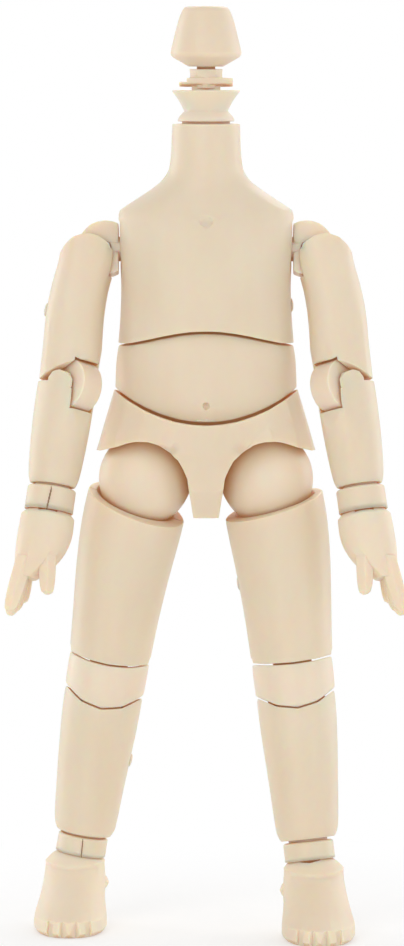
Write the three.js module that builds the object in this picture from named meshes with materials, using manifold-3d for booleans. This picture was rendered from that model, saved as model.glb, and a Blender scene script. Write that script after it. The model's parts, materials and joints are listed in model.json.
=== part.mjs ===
// Jointed doll body without a head, 110 mm tall, standing with its feet apart.
// Millimetres, +Z up, the doll faces -Y and its left side is +X. The soles stand on z = 0.
// Every limb is drawn hanging straight down in its own group, and the stance angles pose the groups.
import * as THREE from 'three';
import { mergeVertices } from 'three/addons/utils/BufferGeometryUtils.js';
import Module from 'manifold-3d';

const wasm = await Module();
wasm.setup();

// Driving dimensions: clearances and walls
const RUN = 0.3; // gap between pieces that move on each other
const SEAM = 0.12; // parting gap between the two halves of a casing
const FIT = 0.15; // gap round a pin in its bore
const GLIDE = 0.18; // gap between the domes and the hollows that glide on them
const WALL = 1.1; // limb casing wall
const BODY_WALL = 1.2; // torso casing wall
const PIN = 0.6; // radius of the steel pins

// Driving dimensions: head plug and neck
const PLUG = { radius: 4.4, topRadius: 2.35, foot: 2.1, height: 7.2 };
const STEM = { radius: 1.75, waist: 1.55, height: 1.05, peg: 1.15, pegLength: 3.6 };
const HEAD_HINGE = { radius: 1.75, length: 3.4 };
const HEAD_BLOCK = { width: 6.4, depth: 3.5, keel: 2.0, low: 1.1, high: 2.15, step: 0.9, stepDepth: 0.45 };
const HINGE_DROP = 0.7; // how far the head hinge's pin lies below the collar's rim
const HINGE_PIN_HALF = 2.65; // half length of the head hinge's pin
const COLLAR = { radius: 4.15, waist: 2.65, height: 2.5, wall: 0.55 };
const NECK = { radius: 4.1, stem: 1.5, ball: 2.4, ballDrop: 3.6, bore: 1.2 };
const NECK_FOOT = { height: 1.2, radius: 3.45, spigot: 2.9, recess: 0.65 };

// Driving dimensions: torso, heights above the hip line
const HIP_SPACING = 14.6;
const CROTCH = { below: 4.4, halfWidth: 1.4 };
const LEG_ARCH = {
  cornerOut: 13.0, cornerUp: 3.4, crownOut: 8.2,
  crownUp: 4.55, innerOut: 2.1, innerUp: -0.5,
};
const PELVIS = { topWidth: 22.0, topDepth: 15.4, width: 26.2, depth: 16.4, rimSide: 10.7, rimSag: 3.9 };
const BELLY = { neck: 1.9, navel: 0.45 };
const CHEST = { width: 21.2, waist: 20.2, depth: 15.8, hemSide: 16.2, hemArch: 1.75, dimple: 1.35 };
const RIBS = { low: 18.5, middle: 22.6, high: 26.5 };
const NECK_SLOPE = { width: 16.6, depth: 10.6, footWidth: 12.6, footDepth: 9.4 };
const SHOULDER_LINE = 32.0; // height of the shoulder corner
const NECK_ROOT = 35.6;
const NECK_TOP = 42.3;
const WAIST_AXIS = 10.4;
const CHEST_AXIS = 14.2;
const POST = {
  radius: 1.7, collar: 2.6, eye: 1.9,
  eyeLength: 4.4, spigot: 0.95, spigotLength: 1.5,
};
const TORSO_PIN_HALF = 9.4; // half length of the waist and chest pins
const CAVITY_FLOOR = 5.4; // height of the floor inside the pelvis
const BEARING = { low: 22.2, high: 23.6 }; // floor inside the chest that the spindle turns in
// The belly is rounded about the waist pin below and about the chest pin above
const BELLY_LOW = { half: 10.9, radius: 7.55, reach: 4.6 };
const BELLY_HIGH = { half: 10.8, radius: 7.45, reach: 4.4 };

// Driving dimensions: arm, lengths down from the shoulder axis
const SHOULDER_SEAT = { out: 10.25, radius: 4.0 }; // round flat on the chest's side that the joint turns on
const SHOULDER = {
  out: 12.0, up: 27.4, radius: 3.3, thick: 2.8,
  peg: 1.5, flange: 2.2, flangeWidth: 0.9,
};
const UPPER_ARM = {
  width: 7.0, depth: 6.7, out: 2.2, capOut: 1.9,
  capDown: 2.4, capRadius: 3.5, elbow: 17.0,
};
const ELBOW = { inward: 1.5, radius: 3.1, thick: 3.0, cutLow: 0.45, cutHigh: 5.4, knuckle: 1.45 };
const TANG = { half: 1.3, length: 6.5 };
const FOREARM = { topWidth: 7.2, wristWidth: 6.1, depth: 6.6, length: 12.0 };
const ARM_PIN_HALF = 2.15; // half length of the shoulder and elbow pins
const WRIST = {
  radius: 3.0, pivot: 6.0, domeRadius: 3.9, stem: 0.8,
  ball: 1.35, peg: 1.1, floor: 2.1, lean: 26,
};
const CUFF = { spigot: 2.1, flange: 1.7, flangeTop: 3.0 };
const SPIGOT_RISE = 0.4; // how far the wrist and ankle spigots stand up into the casing above
const HAND = { width: 6.7, reach: 10.1, thumb: 7.2, finger: 1.15, fingerDeep: 0.78, fingerStep: 1.36 };

// Driving dimensions: leg, lengths down from the hip ball's centre
const HIP_BALL = 5.7;
const HIP_AXLE = 1.0;
const HIP_PEG = { radius: 1.1, eye: 1.6, length: 9.4, flange: 1.8, inward: 0, outward: 42 };
const THIGH = { width: 12.2, depth: 12.0, rim: 3.35, rimTilt: 10.5, rimFront: 13, length: 20.6, floor: 8.0 };
const THIGH_HOLLOW = 15.5; // how far down the thigh its hollow ends
const KNEE = {
  link: 6.8, width: 9.7, depth: 9.6, barrel: 3.1,
  barrelLength: 4.6, web: 1.3, boss: 1.5, skin: 1.1,
};
const KNEE_OUT = 0.5; // how far the knee lies outward of the leg's own axis
const SLIT = 0.2; // gap above and below the knee band
const BAND = { topSide: -1.4, topSag: -0.5, lowSide: -5.1, lowSag: -1.9, back: 0.8 };
const SHIN = { topWidth: 9.5, ankleWidth: 7.5, length: 22.1, bottom: 6.2, floor: 2.0 };
const ANKLE = {
  radius: 3.1, domeRadius: 4.55, ball: 2.6, above: 5.0,
  stem: 0.9, peg: 1.1, flex: 20, rollIn: 14,
};
const ANKLE_SPIGOT = 2.4;
const FOOT = { middle: 0.5, length: 15.4, width: 8.8, forward: 3.7, ankleWidth: 7.2, bone: 1.0 };
const TOES = { count: 5, groove: 0.62 };

const STANCE = {
  left: { armOut: 8, armForward: 12, elbowTurn: 45, legOut: 6.4 },
  right: { armOut: 8, armForward: 12, elbowTurn: 45, legOut: 9.8 },
};

// Moulded plastic colours
const CREAM = { color: 0xe5d6be, roughness: 0.5, metalness: 0 };
const JOINT_PINK = { color: 0xe9d0bc, roughness: 0.5, metalness: 0 };
const SOFT_CREAM = { color: 0xeaddc4, roughness: 0.55, metalness: 0 };
const STEEL = { color: 0xb9bcc0, roughness: 0.3, metalness: 1 };

const SIDES = 20; // facets round a casing
const INNER_SIDES = 10; // facets round a hidden cavity
const PIN_SIDES = 8;
const CUFF_SIDES = 14; // facets round the wrist cuffs and ankle collars
const FAR = 60; // half size of the blocks that trim a solid
const DEG = Math.PI / 180;

// Solids
function solidOf(geometry) {
  const bare = geometry.clone();
  bare.deleteAttribute('normal');
  bare.deleteAttribute('uv');
  const merged = mergeVertices(bare, 1e-4);
  const vertProperties = new Float32Array(merged.attributes.position.array);
  const triVerts = new Uint32Array(merged.index.array);
  return new wasm.Manifold(new wasm.Mesh({ numProp: 3, vertProperties, triVerts }));
}

function geometryOf(solid) {
  const mesh = solid.getMesh();
  const geometry = new THREE.BufferGeometry();
  geometry.setAttribute('position', new THREE.BufferAttribute(mesh.vertProperties, 3));
  geometry.setIndex(new THREE.BufferAttribute(mesh.triVerts, 1));
  geometry.computeVertexNormals();
  return geometry;
}

function box(xRange, yRange, zRange) {
  const size = [xRange, yRange, zRange].map(([low, high]) => high - low);
  const middle = [xRange, yRange, zRange].map(([low, high]) => (high + low) / 2);
  return solidOf(new THREE.BoxGeometry(...size).translate(...middle));
}

function ball(radius, centre = [0, 0, 0], sides = INNER_SIDES) {
  const sphere = new THREE.SphereGeometry(radius, sides, Math.round(sides / 2));
  return solidOf(sphere.rotateX(Math.PI / 2).translate(...centre));
}

// A round bar along x, y or z between two places on that axis
function bar(axis, radius, from, to, centre = [0, 0, 0], sides = INNER_SIDES) {
  const cylinder = new THREE.CylinderGeometry(radius, radius, to - from, sides);
  cylinder.translate(0, (from + to) / 2, 0);
  if (axis === 'x') cylinder.rotateZ(-Math.PI / 2);
  if (axis === 'z') cylinder.rotateX(Math.PI / 2);
  return solidOf(cylinder.translate(...centre));
}

// A turned shape about z from [radius, height] points, listed from the bottom up
function turned(points, sides = SIDES) {
  const outline = points.map(([radius, height]) => new THREE.Vector2(radius, height));
  return solidOf(new THREE.LatheGeometry(outline, sides).rotateX(Math.PI / 2));
}

// A smooth tube of rounded sections. Each station gives a height z, half sizes, shifts and roundness:
// power 2 is an ellipse and a higher power is squarer.
function loft(stations, sides = SIDES) {
  const rising = [...stations].sort((lower, upper) => lower.z - upper.z);
  const sizes = new THREE.CatmullRomCurve3(rising.map((s) => new THREE.Vector3(s.wide, s.deep, s.z)));
  const shifts = new THREE.CatmullRomCurve3(
    rising.map((s) => new THREE.Vector3(s.x ?? 0, s.y ?? 0, (s.power ?? 2) + s.z)),
  );
  const rings = stations.length - 1;
  const shape = new THREE.CylinderGeometry(1, 1, 1, sides, rings).rotateX(Math.PI / 2);
  const position = shape.attributes.position;
  for (let i = 0; i < position.count; i += 1) {
    const level = THREE.MathUtils.clamp(position.getZ(i) + 0.5, 0, 1);
    const reach = Math.min(1, Math.hypot(position.getX(i), position.getY(i)));
    const angle = Math.atan2(position.getY(i), position.getX(i));
    const size = sizes.getPoint(level);
    const shift = shifts.getPoint(level);
    const power = Math.max(1.6, shift.z - size.z);
    const across = Math.abs(Math.cos(angle)) ** power + Math.abs(Math.sin(angle)) ** power;
    const radius = reach / across ** (1 / power);
    position.setXYZ(
      i,
      shift.x + size.x * radius * Math.cos(angle),
      shift.y + size.y * radius * Math.sin(angle),
      size.z,
    );
  }
  return solidOf(shape);
}

// The same stations drawn in by a wall
function inset(stations, wall) {
  return stations.map((s) => ({ ...s, wide: s.wide - wall, deep: s.deep - wall }));
}

// A front view outline of [x, z] points, cut straight through from front to back
function through(points, depth = FAR) {
  const outline = new THREE.Shape(points.map(([x, z]) => new THREE.Vector2(x, z)));
  const block = new THREE.ExtrudeGeometry(outline, { depth: 2 * depth, bevelEnabled: false });
  return solidOf(block.translate(0, 0, -depth).rotateX(Math.PI / 2));
}

// A side view outline of [y, z] points, cut straight through along x
function sideways(points, half = FAR) {
  const outline = new THREE.Shape(points.map(([y, z]) => new THREE.Vector2(y, z)));
  const block = new THREE.ExtrudeGeometry(outline, { depth: 2 * half, bevelEnabled: false });
  return solidOf(block.translate(0, 0, -half).rotateX(Math.PI / 2).rotateZ(Math.PI / 2));
}

// Points of an arc in the front view whose ends lie at +-halfWidth and height z.
// A power above 1 flattens its ends.
function archPoints(halfWidth, z, rise, power = 1, steps = 8) {
  const points = [];
  for (let i = 0; i <= steps; i += 1) {
    const x = halfWidth * (1 - (2 * i) / steps);
    points.push([x, z + rise * Math.max(0, 1 - (x / halfWidth) ** 2) ** power]);
  }
  return points;
}

function frontHalf(solid) {
  return solid.intersect(box([-FAR, FAR], [-FAR, -SEAM / 2], [-2 * FAR, 2 * FAR]));
}

function backHalf(solid) {
  return solid.intersect(box([-FAR, FAR], [SEAM / 2, FAR], [-2 * FAR, 2 * FAR]));
}

// Scene graph
function group(name, parent, place = [0, 0, 0], turn = [0, 0, 0]) {
  const made = new THREE.Group();
  made.name = name;
  made.position.set(...place);
  made.rotation.set(...turn.map((angle) => angle * DEG));
  parent.add(made);
  return made;
}

function piece(name, parent, solid, finish) {
  const mesh = new THREE.Mesh(geometryOf(solid), new THREE.MeshStandardMaterial(finish));
  mesh.name = name;
  parent.add(mesh);
  return mesh;
}

// Turned arc points of a sphere about z, from one height to another, both measured from the sphere's centre
function arcPoints(radius, centre, from, to, steps = 5) {
  const points = [];
  for (let i = 0; i <= steps; i += 1) {
    const height = from + ((to - from) * i) / steps;
    points.push([Math.sqrt(Math.max(0, radius ** 2 - height ** 2)), centre + height]);
  }
  return points;
}

// A ball stretched along x, whose round sections about x let a casing rock on it
function rocker(halfLength, radius, height, sides = SIDES) {
  const sphere = new THREE.SphereGeometry(radius, sides, 10).rotateZ(Math.PI / 2);
  return solidOf(sphere.scale(halfLength / radius, 1, 1).translate(0, 0, height));
}

const doll = new THREE.Group();

// Standing height of the hip line, from the straight right leg
const legReach = THIGH.length + KNEE.link + SHIN.length;
const hipHeight = ANKLE.above + legReach * Math.cos(STANCE.right.legOut * DEG);
// The left leg splays less, so it reaches forward until its sole is level too
const forwardCosine = Math.cos(STANCE.right.legOut * DEG) / Math.cos(STANCE.left.legOut * DEG);
STANCE.left.legForward = Math.acos(forwardCosine) / DEG;
STANCE.right.legForward = 0;

// Torso frames
const pelvis = group('pelvis', doll, [0, 0, hipHeight]);
const belly = group('waist_bend', pelvis, [0, 0, WAIST_AXIS]);
const chestPost = group('chest_bend', belly, [0, 0, CHEST_AXIS - WAIST_AXIS]);
const chest = group('chest_turn', chestPost);

function hemCurve(rise, halfWidth, side, offset, power) {
  return archPoints(halfWidth, side + offset, rise, power, 12);
}

// Everything above a curve across the front, as a block
function above(curve, top = FAR) {
  const ends = [[-FAR, curve[0][1]], [-FAR, top], [FAR, top], [FAR, curve[0][1]]];
  return through([...curve, ...ends]);
}

// Pelvis
const pelvisStations = [
  { z: -CROTCH.below, wide: PELVIS.width / 2 - 1.6, deep: PELVIS.depth / 2 - 3.0, power: 2.2 },
  { z: -1, wide: PELVIS.width / 2 - 0.2, deep: PELVIS.depth / 2 - 0.8, power: 2.3 },
  { z: LEG_ARCH.cornerUp, wide: PELVIS.width / 2, deep: PELVIS.depth / 2, power: 2.4 },
  { z: 7, wide: PELVIS.width / 2 - 1.05, deep: PELVIS.depth / 2 - 0.1, power: 2.4 },
  { z: PELVIS.rimSide, wide: PELVIS.topWidth / 2, deep: PELVIS.topDepth / 2, power: 2.4 },
  { z: PELVIS.rimSide + 1.5, wide: PELVIS.topWidth / 2 - 0.1, deep: PELVIS.topDepth / 2, power: 2.4 },
];
const rimCurve = (offset) => hemCurve(-PELVIS.rimSag, PELVIS.topWidth / 2, PELVIS.rimSide, offset, 1);

function legOpening() {
  const arch = new THREE.SplineCurve([
    new THREE.Vector2(LEG_ARCH.cornerOut + 1.5, LEG_ARCH.cornerUp - 0.6),
    new THREE.Vector2(LEG_ARCH.cornerOut - 1.2, LEG_ARCH.cornerUp + 0.35),
    new THREE.Vector2(LEG_ARCH.crownOut, LEG_ARCH.crownUp),
    new THREE.Vector2((LEG_ARCH.crownOut + LEG_ARCH.innerOut) / 2 - 0.2, LEG_ARCH.crownUp - 1.6),
    new THREE.Vector2(LEG_ARCH.innerOut + 0.4, LEG_ARCH.innerUp + 1.3),
    new THREE.Vector2(LEG_ARCH.innerOut, LEG_ARCH.innerUp),
    new THREE.Vector2(CROTCH.halfWidth, -CROTCH.below - 1),
  ]).getPoints(18);
  const outline = arch.map((point) => [point.x, point.y]);
  return through([...outline, [CROTCH.halfWidth, -FAR], [FAR, -FAR], [FAR, LEG_ARCH.cornerUp - 0.6]]);
}

function pelvisCasing() {
  const opening = legOpening();
  const hips = [-1, 1].map((side) => [(side * HIP_SPACING) / 2, 0, 0]);
  let shell = loft(pelvisStations).subtract(above(rimCurve(0)));
  let bowl = loft(inset(pelvisStations, BODY_WALL), INNER_SIDES)
    .intersect(box([-FAR, FAR], [-FAR, FAR], [CAVITY_FLOOR, FAR]));
  const rocking = rocker(BELLY_LOW.half + RUN, BELLY_LOW.radius + RUN, WAIST_AXIS);
  const thinned = loft(inset(pelvisStations, BODY_WALL / 2), INNER_SIDES);
  for (const hip of hips) bowl = bowl.subtract(ball(HIP_BALL + RUN + BODY_WALL, hip));
  shell = shell.subtract(bowl).subtract(rocking.intersect(thinned).intersect(
    box([-FAR, FAR], [-FAR, FAR], [WAIST_AXIS - BELLY_LOW.radius + 2, FAR]),
  ));
  for (const hip of hips) shell = shell.subtract(ball(HIP_BALL + RUN, hip, SIDES));
  shell = shell.subtract(opening).subtract(opening.mirror([1, 0, 0]));
  const axleBore = bar('x', HIP_AXLE + FIT, -2.2, 2.2, [0, 0, 0], PIN_SIDES);
  const boreFloor = CAVITY_FLOOR - POST.spigotLength - 0.2;
  const postBore = bar('z', POST.spigot + FIT, boreFloor, CAVITY_FLOOR + 1, [0, 0, 0], PIN_SIDES);
  return shell.subtract(axleBore).subtract(postBore);
}

const pelvisShell = pelvisCasing();
piece('pelvis_front', pelvis, frontHalf(pelvisShell), CREAM);
piece('pelvis_back', pelvis, backHalf(pelvisShell), CREAM);

// An eye for a cross pin along x
function eyeAt(height, radius, length) {
  const eye = bar('x', radius, -length / 2, length / 2, [0, 0, height]);
  const bore = bar('x', PIN + FIT, -length, length, [0, 0, height], PIN_SIDES);
  return { eye, bore };
}

function waistPost() {
  const { eye, bore } = eyeAt(WAIST_AXIS, POST.eye, POST.eyeLength);
  const foot = CAVITY_FLOOR + RUN;
  const column = turned([
    [0, foot - POST.spigotLength], [POST.spigot, foot - POST.spigotLength], [POST.spigot, foot],
    [POST.collar, foot], [POST.collar, foot + 0.7], [POST.radius, foot + 1.2],
    [POST.radius, WAIST_AXIS - 1], [0, WAIST_AXIS - 1],
  ], INNER_SIDES);
  return column.add(eye).subtract(bore);
}

piece('waist_post', pelvis, waistPost(), JOINT_PINK);

// Belly, drawn in heights above the hip line. Below the waist pin and above the chest pin its walls are
// rounded about those pins, so that they glide past the rims.
function roundedRing(rocking, axis, offset) {
  const shrink = Math.sqrt(1 - (offset / rocking.radius) ** 2);
  return { z: axis + offset, wide: rocking.half * shrink, deep: rocking.radius * shrink };
}
const bellyStations = [
  roundedRing(BELLY_LOW, WAIST_AXIS, -BELLY_LOW.reach),
  roundedRing(BELLY_LOW, WAIST_AXIS, -BELLY_LOW.reach * 0.7),
  roundedRing(BELLY_LOW, WAIST_AXIS, -BELLY_LOW.reach * 0.35),
  roundedRing(BELLY_LOW, WAIST_AXIS, 0),
  roundedRing(BELLY_HIGH, CHEST_AXIS, 0),
  roundedRing(BELLY_HIGH, CHEST_AXIS, BELLY_HIGH.reach * 0.45),
  roundedRing(BELLY_HIGH, CHEST_AXIS, BELLY_HIGH.reach),
];
const hemLine = (offset) => hemCurve(CHEST.hemArch, CHEST.width / 2, CHEST.hemSide, offset, 1.7);

function bellyCasing() {
  const level = (from, to) => box([-FAR, FAR], [-FAR, FAR], [from, to]);
  const rounded = loft(bellyStations);
  const band = rounded.intersect(above(rimCurve(RUN))).subtract(above(hemLine(-RUN)));
  const tuck = rounded.intersect(loft(inset(bellyStations, BELLY.neck), SIDES))
    .intersect(level(PELVIS.rimSide - PELVIS.rimSag - 0.6, CHEST.hemSide + CHEST.hemArch + 0.6));
  const hollow = loft(inset(bellyStations, BELLY.neck + 1), INNER_SIDES);
  const boreHalf = TORSO_PIN_HALF + 0.2;
  const pinBore = (height) => bar('x', PIN + FIT, -boreHalf, boreHalf, [0, 0, height], PIN_SIDES);
  const navel = ball(BELLY.navel, [0, -BELLY_LOW.radius + 0.25, WAIST_AXIS - 1.3], 8);
  return band.add(tuck).subtract(hollow).subtract(pinBore(WAIST_AXIS))
    .subtract(pinBore(CHEST_AXIS)).subtract(navel);
}

const bellyShell = bellyCasing().translate([0, 0, -WAIST_AXIS]);
piece('belly_front', belly, frontHalf(bellyShell), CREAM);
piece('belly_back', belly, backHalf(bellyShell), CREAM);
const torsoPin = (height) => bar('x', PIN, -TORSO_PIN_HALF, TORSO_PIN_HALF, [0, 0, height], PIN_SIDES);
piece('waist_pin', belly, torsoPin(0), STEEL);
piece('chest_pin', belly, torsoPin(CHEST_AXIS - WAIST_AXIS), STEEL);

// Post that carries the chest: it rocks on the chest pin, and the chest turns on its spindle
function chestPostPiece() {
  const { eye, bore } = eyeAt(0, POST.eye, POST.eyeLength);
  const low = BEARING.low - CHEST_AXIS;
  const high = BEARING.high - CHEST_AXIS;
  const spindle = turned([
    [0, 1], [POST.radius, 1], [POST.radius, low - 1.1], [POST.collar, low - 1.1], [POST.collar, low - RUN],
    [POST.radius, low - RUN], [POST.radius, high + RUN], [POST.collar, high + RUN],
    [POST.collar, high + 1], [0, high + 1],
  ], INNER_SIDES);
  return spindle.add(eye).subtract(bore);
}

piece('chest_post', chestPost, chestPostPiece(), JOINT_PINK);

// Chest with its neck
const chestStations = [
  { z: CHEST.hemSide - 0.8, wide: CHEST.width / 2, deep: CHEST.depth / 2 - 0.5, power: 2.4 },
  { z: RIBS.low, wide: CHEST.width / 2 - 0.3, deep: CHEST.depth / 2 - 0.4, power: 2.4 },
  { z: RIBS.middle, wide: CHEST.waist / 2, deep: CHEST.depth / 2, power: 2.5 },
  { z: RIBS.high, wide: CHEST.waist / 2 + 0.15, deep: CHEST.depth / 2 - 0.1, power: 2.6 },
  { z: SHOULDER_LINE - 2.4, wide: CHEST.width / 2 - 0.1, deep: CHEST.depth / 2 - 1, power: 2.6 },
  { z: SHOULDER_LINE - 0.9, wide: CHEST.width / 2, deep: CHEST.depth / 2 - 1.6, power: 2.6 },
  { z: SHOULDER_LINE + 0.1, wide: CHEST.width / 2 - 0.35, deep: CHEST.depth / 2 - 2.1, power: 2.5 },
  { z: SHOULDER_LINE + 1.4, wide: NECK_SLOPE.width / 2, deep: NECK_SLOPE.depth / 2, power: 2.3 },
  { z: NECK_ROOT - 0.9, wide: NECK_SLOPE.footWidth / 2, deep: NECK_SLOPE.footDepth / 2, power: 2.1 },
  { z: NECK_ROOT + 0.4, wide: NECK.radius + 0.65, deep: NECK.radius + 0.3 },
  { z: NECK_ROOT + 2.1, wide: NECK.radius + 0.1, deep: NECK.radius + 0.1 },
  { z: NECK_TOP, wide: NECK.radius, deep: NECK.radius },
];
const chestRoof = SHOULDER_LINE - 1.2;

function chestCasing() {
  const level = (from, to) => box([-FAR, FAR], [-FAR, FAR], [from, to]);
  const lower = chestStations.slice(0, 6);
  const room = loft(inset(lower, BODY_WALL), INNER_SIDES).intersect(level(0, chestRoof));
  const floor = level(BEARING.low, BEARING.high)
    .subtract(bar('z', POST.radius + FIT, 0, FAR, [0, 0, 0], INNER_SIDES));
  const rocking = rocker(BELLY_HIGH.half + RUN, BELLY_HIGH.radius + RUN, CHEST_AXIS);
  const thinned = loft(inset(lower, BODY_WALL / 2), INNER_SIDES);
  const socket = NECK_TOP - NECK.ballDrop;
  const neckSeat = ball(NECK.ball + RUN, [0, 0, socket]);
  const neckBore = bar('z', NECK.stem + RUN, socket, FAR, [0, 0, 0], INNER_SIDES)
    .add(bar('z', NECK_FOOT.spigot + RUN, NECK_TOP - NECK_FOOT.recess, FAR));
  const seat = bar('x', SHOULDER_SEAT.radius, SHOULDER_SEAT.out, FAR, [0, 0, SHOULDER.up], SIDES);
  const armBore = bar('x', SHOULDER.peg + FIT, -FAR, FAR, [0, 0, SHOULDER.up], INNER_SIDES);
  const hollowNeck = bar('z', NECK.bore, chestRoof - 1, socket, [0, 0, 0], PIN_SIDES);
  const dimple = ball(CHEST.dimple, [0, -CHEST.depth / 2 + 0.55, SHOULDER_LINE - 0.7], SIDES);
  return loft(chestStations, SIDES).intersect(above(hemLine(0)))
    .subtract(room.subtract(floor)).subtract(rocking.intersect(thinned))
    .subtract(seat).subtract(seat.mirror([1, 0, 0])).subtract(neckSeat).subtract(neckBore).subtract(armBore)
    .subtract(hollowNeck).subtract(dimple);
}

const chestShell = chestCasing().translate([0, 0, -CHEST_AXIS]);
piece('chest_front', chest, frontHalf(chestShell), CREAM);
piece('chest_back', chest, backHalf(chestShell), CREAM);

// Neck: a turned piece whose ball sits in the neck, with a dished collar for the head hinge on top
const neckTurn = group('neck_turn', chest, [0, 0, NECK_TOP - CHEST_AXIS]);
const hingeHeight = RUN + NECK_FOOT.height + COLLAR.height - HINGE_DROP;

function neckJoint() {
  const foot = RUN;
  const waist = foot + NECK_FOOT.height;
  const rim = waist + COLLAR.height;
  const ballArc = arcPoints(NECK.ball, -NECK.ballDrop, -NECK.ball, NECK.ball * 0.78, 4);
  const profile = [
    ...ballArc,
    [NECK.stem, RUN - NECK_FOOT.recess],
    [NECK_FOOT.spigot, RUN - NECK_FOOT.recess],
    [NECK_FOOT.spigot, foot],
    [NECK_FOOT.radius, foot],
    [NECK_FOOT.radius - 0.05, foot + 0.35],
    [NECK_FOOT.radius - 0.3, foot + 0.7],
    [COLLAR.waist, waist],
    [COLLAR.waist + 0.5, waist + COLLAR.height * 0.45],
    [COLLAR.radius - 0.2, rim - 0.35],
    [COLLAR.radius, rim],
    [COLLAR.radius - COLLAR.wall, rim],
    [COLLAR.radius - COLLAR.wall - 0.5, rim - 0.5],
    [0, rim - 0.6],
  ];
  const troughHalf = HEAD_HINGE.length / 2 + RUN;
  const trough = bar('x', HEAD_HINGE.radius + RUN, -troughHalf, troughHalf, [0, 0, hingeHeight]);
  const boreHalf = HINGE_PIN_HALF + 0.1;
  const pinBore = bar('x', PIN + FIT, -boreHalf, boreHalf, [0, 0, hingeHeight], PIN_SIDES);
  return turned(profile, SIDES).subtract(trough).subtract(pinBore);
}

piece('neck_joint', neckTurn, neckJoint(), JOINT_PINK);
piece('head_hinge_pin', neckTurn,
  bar('x', PIN, -HINGE_PIN_HALF, HINGE_PIN_HALF, [0, 0, hingeHeight], PIN_SIDES), STEEL);

const headNod = group('head_nod', neckTurn, [0, 0, hingeHeight]);
const stemTop = HEAD_BLOCK.high + STEM.height;

function headStem() {
  const half = HEAD_HINGE.length / 2;
  const side = HEAD_BLOCK.width / 2;
  const depth = HEAD_BLOCK.depth / 2;
  const stepFloor = HEAD_BLOCK.high - HEAD_BLOCK.stepDepth;
  const keel = HEAD_BLOCK.keel / 2;
  const block = sideways([
    [-keel, HEAD_BLOCK.low], [keel, HEAD_BLOCK.low], [depth, HEAD_BLOCK.low + 0.4], [depth, HEAD_BLOCK.high],
    [-depth, HEAD_BLOCK.high], [-depth, HEAD_BLOCK.low + 0.4],
  ], side)
    .subtract(box([-FAR, HEAD_BLOCK.step - side], [-FAR, FAR], [stepFloor, FAR]));
  const barrel = bar('x', HEAD_HINGE.radius, -half, half);
  const spindle = turned([
    [0, 0.9], [STEM.radius, 0.9], [STEM.radius, HEAD_BLOCK.high], [STEM.waist, HEAD_BLOCK.high + 0.4],
    [STEM.radius, stemTop], [STEM.peg, stemTop], [STEM.peg, stemTop + STEM.pegLength],
    [STEM.peg + 0.45, stemTop + STEM.pegLength], [STEM.peg, stemTop + STEM.pegLength + 0.8],
    [0, stemTop + STEM.pegLength + 0.8],
  ], INNER_SIDES);
  const bore = bar('x', PIN + FIT, -half - 1, half + 1, [0, 0, 0], PIN_SIDES);
  return barrel.add(block).add(spindle).subtract(bore);
}

piece('head_stem', headNod, headStem(), JOINT_PINK);

const headTurn = group('head_turn', headNod, [0, 0, stemTop + RUN]);

// The hollow plug that the head pushes onto, open below and bored for the peg
function headPlug() {
  const hub = STEM.peg + FIT;
  const top = PLUG.height;
  const profile = [
    [hub, 0], [PLUG.foot, 0], [PLUG.radius, 1.3], [PLUG.radius - 0.15, 1.9],
    [PLUG.topRadius + 0.9, top - 1.1], [PLUG.topRadius + 0.35, top - 0.25], [PLUG.topRadius, top], [0, top],
    [0, STEM.pegLength + 1.4], [hub + 0.6, STEM.pegLength + 1.4], [hub + 0.6, STEM.pegLength - RUN - 0.2],
    [hub, STEM.pegLength - RUN - 0.6],
  ];
  return turned([...profile, profile[0]], SIDES);
}

piece('head_plug', headTurn, headPlug(), CREAM);

// A wedge slot that opens from a centre upwards, between two lean angles, for a stem of a given half width
function fan(halfWidth, from, to, reach) {
  const edge = (angle, side) => {
    const lean = angle * DEG;
    const out = [Math.sin(lean) * reach, Math.cos(lean) * reach];
    const step = [Math.cos(lean) * halfWidth * side, -Math.sin(lean) * halfWidth * side];
    return [[step[0], step[1]], [out[0] + step[0], out[1] + step[1]]];
  };
  const [lowNear, lowFar] = edge(from, -1);
  const [highNear, highFar] = edge(to, 1);
  return [lowNear, lowFar, highFar, highNear, [0, -halfWidth]];
}

// Arms
const armPinBore = bar('y', PIN + FIT, -ARM_PIN_HALF - FIT, ARM_PIN_HALF + FIT, [0, 0, 0], PIN_SIDES);
const armPin = bar('y', PIN, -ARM_PIN_HALF, ARM_PIN_HALF, [0, 0, 0], PIN_SIDES);

function shoulderJoint() {
  const face = SHOULDER_SEAT.out + FIT - SHOULDER.out;
  const disc = bar('y', SHOULDER.radius, -SHOULDER.thick / 2, SHOULDER.thick / 2, [0, 0, 0], SIDES)
    .intersect(box([face, FAR], [-FAR, FAR], [-FAR, FAR]));
  const wallInside = CHEST.waist / 2 + 0.1 - BODY_WALL - SHOULDER.out;
  const peg = bar('x', SHOULDER.peg, wallInside - SHOULDER.flangeWidth, 0);
  const flange = bar('x', SHOULDER.flange, wallInside - SHOULDER.flangeWidth, wallInside - RUN);
  const pinBore = bar('y', PIN + FIT, -FAR, FAR, [0, 0, 0], PIN_SIDES);
  return disc.add(peg).add(flange).subtract(pinBore);
}

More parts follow.
